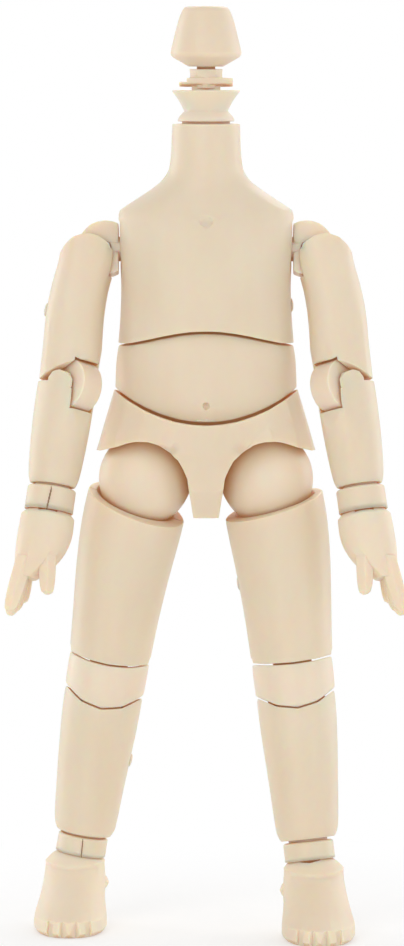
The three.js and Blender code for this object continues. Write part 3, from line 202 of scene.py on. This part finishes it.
def build_painted_gap_group():
    group, given, result = new_group(
        "painted_gap_shade_and_glow",
        [
            ("Color", "NodeSocketColor", (0.8, 0.7, 0.55, 1)),
            ("Painted amber", "NodeSocketColor", (0.6, 0.3, 0.12, 1)),
            ("Reach", "NodeSocketFloat", GAP_REACH),
        ],
        [("Color", "NodeSocketColor"), ("Painted glow", "NodeSocketColor")],
    )
    near = group.nodes.new("ShaderNodeAmbientOcclusion")
    near.samples = 8
    narrow = group.nodes.new("ShaderNodeMapRange")
    narrow.inputs["From Min"].default_value = OPEN_ENOUGH
    narrow.inputs["From Max"].default_value = 0.0
    # Painted shade: where the mask finds a narrow place, the colour turns to a darker amber.
    painted_shade = group.nodes.new("ShaderNodeMix")
    painted_shade.data_type = "RGBA"
    # Painted glow: amber light given off in the same places, standing for light through the
    # plastic.
    glow = group.nodes.new("ShaderNodeMix")
    glow.data_type = "RGBA"
    glow.inputs["A"].default_value = (0, 0, 0, 1)
    links = group.links
    links.new(given.outputs["Reach"], near.inputs["Distance"])
    links.new(near.outputs["AO"], narrow.inputs["Value"])
    links.new(narrow.outputs["Result"], painted_shade.inputs["Factor"])
    links.new(given.outputs["Color"], painted_shade.inputs["A"])
    links.new(given.outputs["Painted amber"], painted_shade.inputs["B"])
    links.new(narrow.outputs["Result"], glow.inputs["Factor"])
    links.new(given.outputs["Painted amber"], glow.inputs["B"])
    links.new(painted_shade.outputs["Result"], result.inputs["Color"])
    links.new(glow.outputs["Result"], result.inputs["Painted glow"])
    return group


painted_gap_shade_and_glow = build_painted_gap_group()
print("gap group sockets:", socket_names(painted_gap_shade_and_glow))

# %% [markdown]
# ## The finishes
#
# A colour picked from a screen is an sRGB code, but a socket takes linear light, so the code goes
# through the formula of the sRGB standard.

# %% Helpers: linear colours, a new material, a group inside it
def linear_colour(hex_code):
    channels = [int(hex_code[i : i + 2], 16) / 255 for i in (0, 2, 4)]
    linear = [c / 12.92 if c <= 0.04045 else ((c + 0.055) / 1.055) ** 2.4 for c in channels]
    return (*linear, 1)


def new_material(name):
    material = bpy.data.materials.new(name)
    material.use_nodes = True
    nodes, links = material.node_tree.nodes, material.node_tree.links
    return material, nodes, links, nodes["Principled BSDF"]


def use_group(nodes, tree, values):
    node = nodes.new("ShaderNodeGroup")
    node.node_tree = tree
    for label, value in values.items():
        node.inputs[label].default_value = value
    return node


# %% [markdown]
# The casings are a warm cream. The joint pieces come from another resin, a little paler. Hands and
# feet are soft vinyl and duller. Light enters all three and comes out warmer. A tinted glass could
# do that too, but it would show the inside, so the shader's subsurface sockets are used.

# %% Three plastics, each from two tones
SCATTER_RADIUS = (1.0, 0.45, 0.2)
SCATTER_SCALE = 2.0 * MM
SCATTER_WEIGHT = 0.75
TONE_STRENGTH = 0.8
GRAIN_DEPTH = 0.05 * MM
# Strength of the painted glow that the plastics give off in their narrow gaps.
PAINTED_GAP_GLOW = 0.22


def moulded_plastic(name, pale, deep, gloss, grain):
    material, nodes, links, shader = new_material(name)
    shader.inputs["IOR"].default_value = 1.5
    shader.inputs["Subsurface Weight"].default_value = SCATTER_WEIGHT
    shader.inputs["Subsurface Radius"].default_value = SCATTER_RADIUS
    shader.inputs["Subsurface Scale"].default_value = SCATTER_SCALE
    shader.inputs["Emission Strength"].default_value = PAINTED_GAP_GLOW
    tones = {"Pale": linear_colour(pale), "Deep": linear_colour(deep), "Strength": TONE_STRENGTH}
    tone = use_group(nodes, resin_tone, tones)
    skin = use_group(nodes, mould_grain, {"Gloss low": gloss[0], "Gloss high": gloss[1]})
    bump = nodes.new("ShaderNodeBump")
    bump.inputs["Strength"].default_value = grain
    bump.inputs["Distance"].default_value = GRAIN_DEPTH
    # Painted shade and glow: the gap group turns narrow places amber and feeds their glow.
    gap = use_group(nodes, painted_gap_shade_and_glow, {"Painted amber": linear_colour("BC8A5C")})
    links.new(tone.outputs["Color"], gap.inputs["Color"])
    links.new(gap.outputs["Color"], shader.inputs["Base Color"])
    links.new(gap.outputs["Painted glow"], shader.inputs["Emission Color"])
    links.new(skin.outputs["Roughness"], shader.inputs["Roughness"])
    links.new(skin.outputs["Height"], bump.inputs["Height"])
    links.new(bump.outputs["Normal"], shader.inputs["Normal"])
    return material


casing_cream = moulded_plastic("casing_cream", "E8DAC4", "D6BF9C", gloss=(0.38, 0.52), grain=0.12)
joint_pink = moulded_plastic("joint_pink", "EDDFCB", "DCC3A3", gloss=(0.36, 0.5), grain=0.1)
soft_vinyl = moulded_plastic("soft_vinyl", "EDDFC9", "DBC5A3", gloss=(0.45, 0.62), grain=0.2)
print("plastics:", casing_cream.name, joint_pink.name, soft_vinyl.name)

# %% [markdown]
# The pins are drawn steel wire. The same two groups serve the metal: the tone in greys, and the
# wider waves of the grain group as a roughness that changes along each pin.

# %% Steel of the pins
def drawn_steel():
    material, nodes, links, shader = new_material("drawn_steel")
    shader.inputs["Metallic"].default_value = 1.0
    tones = {"Pale": linear_colour("C4C6C8"), "Deep": linear_colour("96989B")}
    tone = use_group(nodes, resin_tone, tones)
    skin = use_group(nodes, mould_grain, {"Gloss low": 0.25, "Gloss high": 0.5})
    links.new(tone.outputs["Color"], shader.inputs["Base Color"])
    links.new(skin.outputs["Roughness"], shader.inputs["Roughness"])
    return material


pin_steel = drawn_steel()
print("metal:", pin_steel.name)

# %% [markdown]
# The record names a material slot for each solid. Finishes could be given piece by piece, but one
# table from slots to finishes can't miss a piece. The pins and the parts inside stay plain solids,
# so the solids themselves get their finish here.

# %% A finish for every solid
finish_of_slot = {
    "casing_plastic": casing_cream,
    "joint_plastic": joint_pink,
    "soft_plastic": soft_vinyl,
    "pin_steel": pin_steel,
}
slot_of_node = {part["node"]: part["material_slot"] for part in frame["record"]["subparts"]}
for node, solid in frame["nodes"].items():
    solid.data.materials.clear()
    solid.data.materials.append(finish_of_slot[slot_of_node[node]])
print("slots in use:", sorted(set(slot_of_node.values())))

# %% [markdown]
# ## From facets to mouldings
#
# A casing solid has flat facets and knife edges. On the real part every edge is rounded, since
# molten plastic doesn't fill a sharp corner, and the walls are smooth. Three ways could do it:
# model each casing again, remesh it, or refine a copy of it. Modelling again would lose the exact
# fit, and a remesh blurs the small gaps. So a copy is merged, its flat triangles joined, its sharp
# edges bevelled with bmesh, and a Subdivision Surface smooths the rest.

# %% Clean the facets and round the edges
MERGE = 0.002 * MM
SLIVER = 0.01 * MM
FLAT = math.radians(0.8)
PAIR_BEND = math.radians(20)
PAIR_SHEAR = math.radians(50)


def clean_facets(shape):
    bmesh.ops.remove_doubles(shape, verts=shape.verts, dist=MERGE)
    bmesh.ops.dissolve_degenerate(shape, edges=shape.edges, dist=SLIVER)
    bmesh.ops.dissolve_limit(shape, angle_limit=FLAT, verts=shape.verts, edges=shape.edges)
    bmesh.ops.join_triangles(
        shape, faces=shape.faces, angle_face_threshold=PAIR_BEND, angle_shape_threshold=PAIR_SHEAR
    )


def round_edges(shape, edges, width, segments=2):
    bmesh.ops.bevel(
        shape, geom=edges, offset=width, offset_type="OFFSET", segments=segments, profile=0.5,
        affect="EDGES", material=-1, clamp_overlap=False,
    )


# %% [markdown]
# A Subdivision Surface puts a new point in the middle of every face. In a face that bends round a
# corner, such as the parting face of a casing, that middle lies outside the face and would grow a
# flap. So these faces are split into triangles first. Creases hold their borders still, and also
# the sharp inner edges, which get no bevel.
#
# A rounded sole or rim may swell past its solid by a hair. The last helper moves such points back
# into the box of the solid.

# %% Hold the flat faces and stay in the box
HELD = math.radians(20)


def steady_flats(shape, sharp):
    crease = shape.edges.layers.float.new("crease_edge")
    for edge in shape.edges:
        if len(edge.link_faces) == 2 and not edge.is_convex and edge.calc_face_angle() > sharp:
            edge[crease] = 1.0
    bent = [
        face for face in shape.faces
        if len(face.verts) > 4 and not all(corner.is_convex for corner in face.loops)
    ]
    for edge in {edge for face in bent for edge in face.edges}:
        if len(edge.link_faces) == 2 and edge.calc_face_angle() > HELD:
            edge[crease] = 1.0
    bmesh.ops.triangulate(shape, faces=bent, quad_method="BEAUTY", ngon_method="BEAUTY")


def keep_in_box(shape, node):
    low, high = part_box(node)
    for vertex in shape.verts:
        inside = [min(max(c, least), most) for c, least, most in zip(vertex.co, low, high)]
        vertex.co = Vector(inside)


# %% [markdown]
# Each moulding rides on the body of its solid, replaces the solid in the picture and keeps its
# slot. Pieces with a shape of their own pass a function that changes the copy before its edges are
# rounded.

# %% Refine a copy of one solid
SHARP = math.radians(34)
EDGE_ROUND = 0.09 * MM
SMOOTH_LEVELS = 2


def new_object(name, data):
    made = bpy.data.objects.new(name, data)
    bpy.context.scene.collection.objects.link(made)
    return made


def finished_mesh(name, shape, material):
    for face in shape.faces:
        face.smooth = True
    mesh = bpy.data.meshes.new(name)
    shape.to_mesh(mesh)
    shape.free()
    mesh.materials.append(material)
    return mesh


def moulded_copy(node, rounding=EDGE_ROUND, sharp=SHARP, change=None):
    solid = frame["nodes"][node]
    shape = bmesh.new()
    shape.from_mesh(solid.data)
    clean_facets(shape)
    if change:
        change(shape)
    outer = [
        edge for edge in shape.edges
        if len(edge.link_faces) == 2 and edge.is_convex and edge.calc_face_angle() > sharp
    ]
    round_edges(shape, outer, rounding)
    steady_flats(shape, sharp)
    keep_in_box(shape, node)
    name = node + "_moulding"
    piece = new_object(name, finished_mesh(name, shape, finish_of_slot[slot_of_node[node]]))
    smooth = piece.modifiers.new("smooth", "SUBSURF")
    smooth.levels = SMOOTH_LEVELS
    smooth.render_levels = SMOOTH_LEVELS
    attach(piece, solid["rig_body"])
    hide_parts(node)
    return piece


def mould_all(names, **settings):
    made = [moulded_copy(name, **settings) for name in names]
    print(len(made), "mouldings, faces:", sum(len(piece.data.polygons) for piece in made))


# %% [markdown]
# The chest and the belly are two half shells each. Their hems are domes that glide over one
# another, so the line of a hem has to stay where the solid has it. A copy keeps it, and a rounding
# a little wider than on the limbs gives the soft lip that the hems have in the photo.

# %% Torso casings
mould_all(["chest_front", "chest_back", "belly_front", "belly_back"], rounding=0.12 * MM)

# %% [markdown]
# The pelvis is open at both legs. From the front each opening is almost a circle arc round its hip
# ball. The solid's border has flatter places there, up to a millimetre inside this arc. A boolean
# cut would leave slivers that smooth badly, so the points inside the arc are pushed out onto it.

# %% Pelvis casing
OPENING_OUT = 7.7 * MM
OPENING_HEIGHT = 53.15 * MM
OPENING_RADIUS = 5.5 * MM


def round_leg_openings(shape):
    for vertex in shape.verts:
        side = math.copysign(1, vertex.co.x)
        middle = Vector((side * OPENING_OUT, vertex.co.y, OPENING_HEIGHT))
        out = vertex.co - middle
        if out.length < OPENING_RADIUS:
            vertex.co = middle + out.normalized() * OPENING_RADIUS


mould_all(["pelvis_front", "pelvis_back"], rounding=0.14 * MM, change=round_leg_openings)

# %% [markdown]
# The head plug is round at its top rim and at its widest place, and the stem under it is almost as
# wide as its foot. A wide bevel rounds the widest place, and the Subdivision Surface alone rounds
# the rim, because a bevel there would overshoot. The points round the waist of the stem move
# outward, each by its own distance, so that the stem keeps its flare.

# %% Neck and head plug
PLUG_REACH = 0.9
PLUG_WAIST_ROUND = 0.5 * MM
PLUG_SHARP = math.radians(40)
STEM_SEARCH = (1.5 * MM, 1.8 * MM)
STEM_SEARCH_DEPTH = 1.4 * MM
STEM_NARROWEST = 1.55 * MM
STEM_WAIST = 1.98 * MM
STEM_FLARE = 0.6


def plug_middle():
    low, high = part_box("head_plug")
    return low, high, (low + high) / 2


def round_plug(shape):
    _, high, centre = plug_middle()
    reach = PLUG_REACH * (high.x - centre.x)
    waist = [
        edge for edge in shape.edges
        if all((v.co - centre).xy.length > reach for v in edge.verts)
        and edge.calc_face_angle() > SHARP
    ]
    round_edges(shape, waist, PLUG_WAIST_ROUND, segments=4)


def widen_stem(shape):
    low, _, centre = plug_middle()
    nearest, farthest = STEM_SEARCH
    for vertex in shape.verts:
        out = (vertex.co - centre).xy
        below_plug = -STEM_SEARCH_DEPTH < vertex.co.z - low.z < 0
        if nearest < out.length < farthest and below_plug:
            radius = STEM_WAIST + STEM_FLARE * (out.length - STEM_NARROWEST)
            vertex.co.xy = centre.xy + out.normalized() * radius


mould_all(["neck_joint"])
mould_all(["head_stem"], change=widen_stem)
mould_all(["head_plug"], sharp=PLUG_SHARP, change=round_plug)

# %% [markdown]
# Upper arms, forearms, thighs and shins are tubes of two halves. New tubes would be simple to
# model, but their ends have to meet the joint pieces, so these are refined copies too. The parting
# lines run down their sides, where the photo hardly shows them. The plain rounding leaves each one
# as a fine groove, as the two rounded edges of real halves do.

# %% Limb casings
SIDES = ("left", "right")
CASINGS = [
    f"{name}_{half}" for name in ("upper_arm", "forearm", "thigh", "shin")
    for half in ("front", "back")
]
mould_all([f"{side}_{name}" for side in SIDES for name in CASINGS])

# %% [markdown]
# Shoulder pieces, elbow discs, cuffs, hip balls and ankle collars sit between the casings. They are
# refined in the same way. The knee piece swings inside the back of the shin with little room. Its
# edges could be cut back, but a wider rounding is enough: it clears the shin up to the end of the
# swing.

# %% Joint pieces of the limbs
JOINTS = ("shoulder_joint", "elbow_disc", "wrist_cuff", "hip_ball", "ankle_collar")
mould_all([f"{side}_{name}" for side in SIDES for name in JOINTS])
mould_all([f"{side}_knee_joint" for side in SIDES], rounding=0.2 * MM)

# %% [markdown]
# Hands and feet are soft vinyl, each cast in one piece. They could be sculpted, but a sculpt drifts
# in size, and the cuffs have to fit. A refined copy keeps fingers and toes in place and melts the
# facets between them.

# %% Hands and feet
mould_all([f"{side}_{name}" for side in SIDES for name in ("hand", "foot")])

# %% [markdown]
# ## Traces of the mould
#
# Where the plastic entered the mould, a little stub stays behind when the part is twisted off its
# runner. The photo shows these stubs on the outline of the chest, an arm, a thigh and a shin. Each
# place could be typed in, but then it would float or sink if the solid changed. So a ray looks
# sideways at the solid, at one height and several depths, and the outermost hit is taken.

# %% Helpers: find a place on a solid, and finish a small piece
FAR_AWAY = 100 * MM
LOOKS = 25


def solid_tree(node):
    data = frame["nodes"][node].data
    places = [vertex.co for vertex in data.vertices]
    return BVHTree.FromPolygons(places, [polygon.vertices[:] for polygon in data.polygons])


def outermost(node, side, height):
    tree = solid_tree(node)
    low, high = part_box(node)
    found = []
    for look in range(LOOKS):
        depth = low.y + (high.y - low.y) * look / (LOOKS - 1)
        start = Vector((side * FAR_AWAY, depth, height))
        place, normal, _, _ = tree.ray_cast(start, Vector((-side, 0, 0)))
        if place is not None:
            found.append((side * place.x, tuple(place), tuple(normal)))
    best = max(found)
    return Vector(best[1]), Vector(best[2])


def small_piece(name, shape, node, material):
    bmesh.ops.recalc_face_normals(shape, faces=shape.faces)
    piece = new_object(name, finished_mesh(name, shape, material))
    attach(piece, frame["nodes"][node]["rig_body"])
    return piece


# %% [markdown]
# A stub is a flattened bead, half sunk in the wall. It is taller than it is wide and turned so that
# its short axis follows the wall's normal.

# %% Gate stubs
STUB = (0.24 * MM, 0.5 * MM, 0.8 * MM)


def gate_stub(name, node, side, height):
    place, normal = outermost(node, side, height)
    flat = Vector((normal.x, 0, normal.z))
    turn = flat.to_track_quat("X", "Z").to_matrix().to_4x4()
    shape = bmesh.new()
    bmesh.ops.create_uvsphere(shape, u_segments=20, v_segments=12, radius=1)
    bmesh.ops.scale(shape, vec=STUB, verts=shape.verts)
    bmesh.ops.transform(shape, matrix=turn, verts=shape.verts)
    bmesh.ops.translate(shape, vec=place, verts=shape.verts)
    return small_piece(name, shape, node, casing_cream)


stubs = [
    gate_stub("chest_stub", "chest_back", 1, 74.5 * MM),
    gate_stub("arm_stub", "right_upper_arm_back", -1, 74.0 * MM),
    gate_stub("thigh_stub", "left_thigh_back", -1, 41.2 * MM),
    gate_stub("shin_stub", "right_shin_back", 1, 19.8 * MM),
]
tips = [stub.data.vertices[0].co for stub in stubs]
print("stubs at:", [tuple(round(c / MM, 1) for c in tip) for tip in tips])

# %% [markdown]
# A cuff is two shells pressed together, and the shade in their seam shows as a hair-thin dark
# line. Here that shade is painted: the line's finish is the resin tone again, in two browns.

# %% Finish of the painted seam shadow
def seam_shadow_tone():
    material, nodes, links, shader = new_material("seam_shadow")
    shader.inputs["Roughness"].default_value = 0.8
    # Two dark browns, painted as the shade in the seam.
    tones = {"Pale": linear_colour("8A6A4C"), "Deep": linear_colour("5E432C")}
    tone = use_group(nodes, resin_tone, tones)
    links.new(tone.outputs["Color"], shader.inputs["Base Color"])
    return material


seam_shadow = seam_shadow_tone()
print("seam finish:", seam_shadow.name)

# %% [markdown]
# The line could be cut into the cuff, but a groove this thin would need many more faces. Instead
# its shade is painted as a row of long dark beads, laid on the solid by looking at it from the
# front at a few places. The ends of each line are read off the photo in its pixels: one pixel is
# about
# 0.12 mm on the doll.

# %% Painted shadow lines of the cuff seams
PIXEL = 0.1196 * MM
PHOTO_MIDDLE = 206
PHOTO_SOLES = 927.7
SEAM_RADIUS = 0.05 * MM
SEAM_STEPS = 8
SEAM_FLAT = 0.6


def photo_place(x, y):
    return Vector(((x - PHOTO_MIDDLE) * PIXEL, (PHOTO_SOLES - y) * PIXEL))


def front_seam_shadow(name, node, top, bottom):
    tree = solid_tree(node)
    stretch = (top - bottom).length / SEAM_STEPS / SEAM_RADIUS
    shape = bmesh.new()
    for step in range(SEAM_STEPS + 1):
        spot = top.lerp(bottom, step / SEAM_STEPS)
        start = Vector((spot.x, -FAR_AWAY, spot.y))
        place, _, _, _ = tree.ray_cast(start, Vector((0, 1, 0)))
        if place is None:
            continue
        # Each bead is a short dark stroke of the painted seam shadow.
        bead = bmesh.ops.create_uvsphere(shape, u_segments=8, v_segments=6, radius=SEAM_RADIUS)
        bmesh.ops.scale(shape, vec=(1, SEAM_FLAT, stretch), verts=bead["verts"])
        bmesh.ops.translate(shape, vec=place, verts=bead["verts"])
    return small_piece(name, shape, node, seam_shadow)


wrist_ends = photo_place(53.3, 483), photo_place(46.8, 510)
ankle_ends = photo_place(82.7, 840), photo_place(81, 857)
seams = [
    front_seam_shadow("wrist_seam_shadow", "right_wrist_cuff", *wrist_ends),
    front_seam_shadow("ankle_seam_shadow", "right_ankle_collar", *ankle_ends),
]
print("seam faces:", [len(seam.data.polygons) for seam in seams])

# %% [markdown]
# ## The setting
#
# A product photographer stands such a doll on a white sweep and lights it with large soft boxes.
# Here the sweep is a wide white plane, and the world is the wall behind it. Near the feet the plane
# is partly matt and takes their shadow. Farther out it fades to plain white. Only the camera and
# mirrored or refracted views of it see that white, so it doesn't flood the object with light.

# %% Rays that see the white
WHITE = (1, 1, 1, 1)


def seen_rays(nodes, links):
    path = nodes.new("ShaderNodeLightPath")
    rays = path.outputs["Is Camera Ray"]
    for other in ("Is Glossy Ray", "Is Transmission Ray"):
        add = nodes.new("ShaderNodeMath")
        add.operation = "ADD"
        add.use_clamp = True
        links.new(rays, add.inputs[0])
        links.new(path.outputs[other], add.inputs[1])
        rays = add.outputs[0]
    return rays


# %% [markdown]
# The matt shader and the white one are mixed. The share of the white grows with the distance from
# the middle of the floor. Up to the first radius it is smallest and the shadow shows best, and past
# the second radius the floor is all white.

# %% Finish of the floor
FLOOR_WHITE = (0.98, 0.98, 0.98, 1)
SHADOW_KEEP = 14 * MM
SHADOW_END = 75 * MM
LEAST_WHITE = 0.45


def white_sweep():
    material, nodes, links, shader = new_material("white_sweep")
    shader.inputs["Base Color"].default_value = FLOOR_WHITE
    shader.inputs["Roughness"].default_value = 0.9
    away = nodes.new("ShaderNodeVectorMath")
    away.operation = "LENGTH"
    fade = nodes.new("ShaderNodeMapRange")
    fade.interpolation_type = "SMOOTHSTEP"
    fade.inputs["From Min"].default_value = SHADOW_KEEP
    fade.inputs["From Max"].default_value = SHADOW_END
    fade.inputs["To Min"].default_value = LEAST_WHITE
    place = nodes.new("ShaderNodeTexCoord")
    glow = nodes.new("ShaderNodeEmission")
    glow.inputs["Color"].default_value = WHITE
    share = nodes.new("ShaderNodeMath")
    share.operation = "MULTIPLY"
    mix = nodes.new("ShaderNodeMixShader")
    links.new(place.outputs["Object"], away.inputs[0])
    links.new(away.outputs["Value"], fade.inputs["Value"])
    links.new(fade.outputs["Result"], share.inputs[0])
    links.new(seen_rays(nodes, links), share.inputs[1])
    links.new(share.outputs["Value"], mix.inputs["Fac"])
    links.new(shader.outputs["BSDF"], mix.inputs[1])
    links.new(glow.outputs["Emission"], mix.inputs[2])
    links.new(mix.outputs["Shader"], nodes["Material Output"].inputs["Surface"])
    return material


# %% [markdown]
# One flat face is enough for the floor, since the wall behind it is as white. It lies a hair below
# the soles, so the two surfaces don't fight for the same place.

# %% Floor
FLOOR_HALF = 1.5
FLOOR_DROP = 0.05 * MM


def white_floor():
    shape = bmesh.new()
    bmesh.ops.create_grid(shape, x_segments=1, y_segments=1, size=FLOOR_HALF)
    floor = new_object("floor", finished_mesh("floor", shape, white_sweep()))
    floor.location.z = -FLOOR_DROP


white_floor()
print("floor half size in metres:", FLOOR_HALF)

# %% [markdown]
# The world is the white wall and part of the light. It has two strengths: the camera sees plain
# white, and the object is lit by a weaker white, because full white from all sides would wash its
# shadows out. One strength for both would make the wall grey or the object flat.

# %% World
ROOM_LIGHT = 0.62


def soft_world():
    world = bpy.data.worlds.new("white_room")
    bpy.context.scene.world = world
    world.use_nodes = True
    nodes, links = world.node_tree.nodes, world.node_tree.links
    room = nodes["Background"]
    room.inputs["Color"].default_value = WHITE
    room.inputs["Strength"].default_value = ROOM_LIGHT
    seen = nodes.new("ShaderNodeBackground")
    seen.inputs["Color"].default_value = WHITE
    seen.inputs["Strength"].default_value = 1.0
    mix = nodes.new("ShaderNodeMixShader")
    links.new(seen_rays(nodes, links), mix.inputs["Fac"])
    links.new(room.outputs["Background"], mix.inputs[1])
    links.new(seen.outputs["Background"], mix.inputs[2])
    links.new(mix.outputs["Shader"], nodes["World Output"].inputs["Surface"])


soft_world()
print("world:", bpy.context.scene.world.name)

# %% [markdown]
# Six area lamps stand for the soft boxes. The key comes from high in front on the doll's right, a
# weaker fill from its left, and a low box reaches the legs. Three rim boxes behind the doll draw
# the pale outlines that the photo shows. Point lamps would cast hard shadows. The size of an area
# lamp makes them soft, as a soft box does.

# %% Soft boxes
CHEST_POINT = (0, 0, 0.07)
HIP_POINT = (0, 0, 0.05)
BOXES = [
    # name, place, aim, size in metres, watts
    ("key_box", (-0.25, -0.5, 0.45), CHEST_POINT, (0.35, 0.35), 0.72),
    ("fill_box", (0.4, -0.4, 0.12), CHEST_POINT, (0.35, 0.35), 0.38),
    ("low_box", (-0.12, -0.5, 0.03), HIP_POINT, (0.3, 0.12), 0.38),
    ("top_rim_box", (0.1, 0.45, 0.4), CHEST_POINT, (0.4, 0.2), 0.65),
    ("left_rim_box", (0.4, 0.22, 0.1), CHEST_POINT, (0.15, 0.4), 0.6),
    ("right_rim_box", (-0.4, 0.22, 0.1), CHEST_POINT, (0.15, 0.4), 0.6),
]


def soft_box(name, place, aim, size, watts):
    light = bpy.data.lights.new(name, "AREA")
    light.shape = "RECTANGLE"
    light.size, light.size_y = size
    light.energy = watts
    lamp = new_object(name, light)
    lamp.location = place
    lamp.rotation_euler = (Vector(aim) - lamp.location).to_track_quat("-Z", "Y").to_euler()


for box in BOXES:
    soft_box(*box)

# %% [markdown]
# ## The camera
#
# The photograph is taken from about two thirds of a metre in front, at the height of the head plug,
# looking a little down, so the feet show their tops. The doll stands four pixels right of the
# picture's middle. The lens could be tried out by eye, but it follows from two known sizes: the
# height of the picture in pixels, and the size of a pixel on the doll.

# %% Camera
IMAGE_WIDTH, IMAGE_HEIGHT = 404, 946
HALF_PARTING = 0.06 * MM
BODY_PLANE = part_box("chest_front")[1].y + HALF_PARTING
DISTANCE = 650 * MM
MIDDLE_HEIGHT = 54.4 * MM
EYE_HEIGHT = 105 * MM
SIDE_SHIFT = (IMAGE_WIDTH / 2 - PHOTO_MIDDLE) * PIXEL
SENSOR_HEIGHT = 24
NEAREST = 0.01


def photo_camera():
    data = bpy.data.cameras.new("photo_camera")
    camera = new_object("photo_camera", data)
    camera.location = (SIDE_SHIFT, BODY_PLANE - DISTANCE, EYE_HEIGHT)
    sight = Vector((SIDE_SHIFT, BODY_PLANE, MIDDLE_HEIGHT)) - camera.location
    camera.rotation_euler = sight.to_track_quat("-Z", "Y").to_euler()
    data.sensor_fit = "VERTICAL"
    data.sensor_height = SENSOR_HEIGHT
    data.lens = SENSOR_HEIGHT * sight.length / (IMAGE_HEIGHT * PIXEL)
    data.clip_start = NEAREST
    bpy.context.scene.camera = camera
    return camera


camera = photo_camera()
bpy.context.scene.view_settings.view_transform = "Standard"
print("lens in mm:", round(camera.data.lens, 1))

# %% [markdown]
# ## The last update
#
# The last cell brings the view layer up to date.

# %% Update the view layer
bpy.context.view_layer.update()
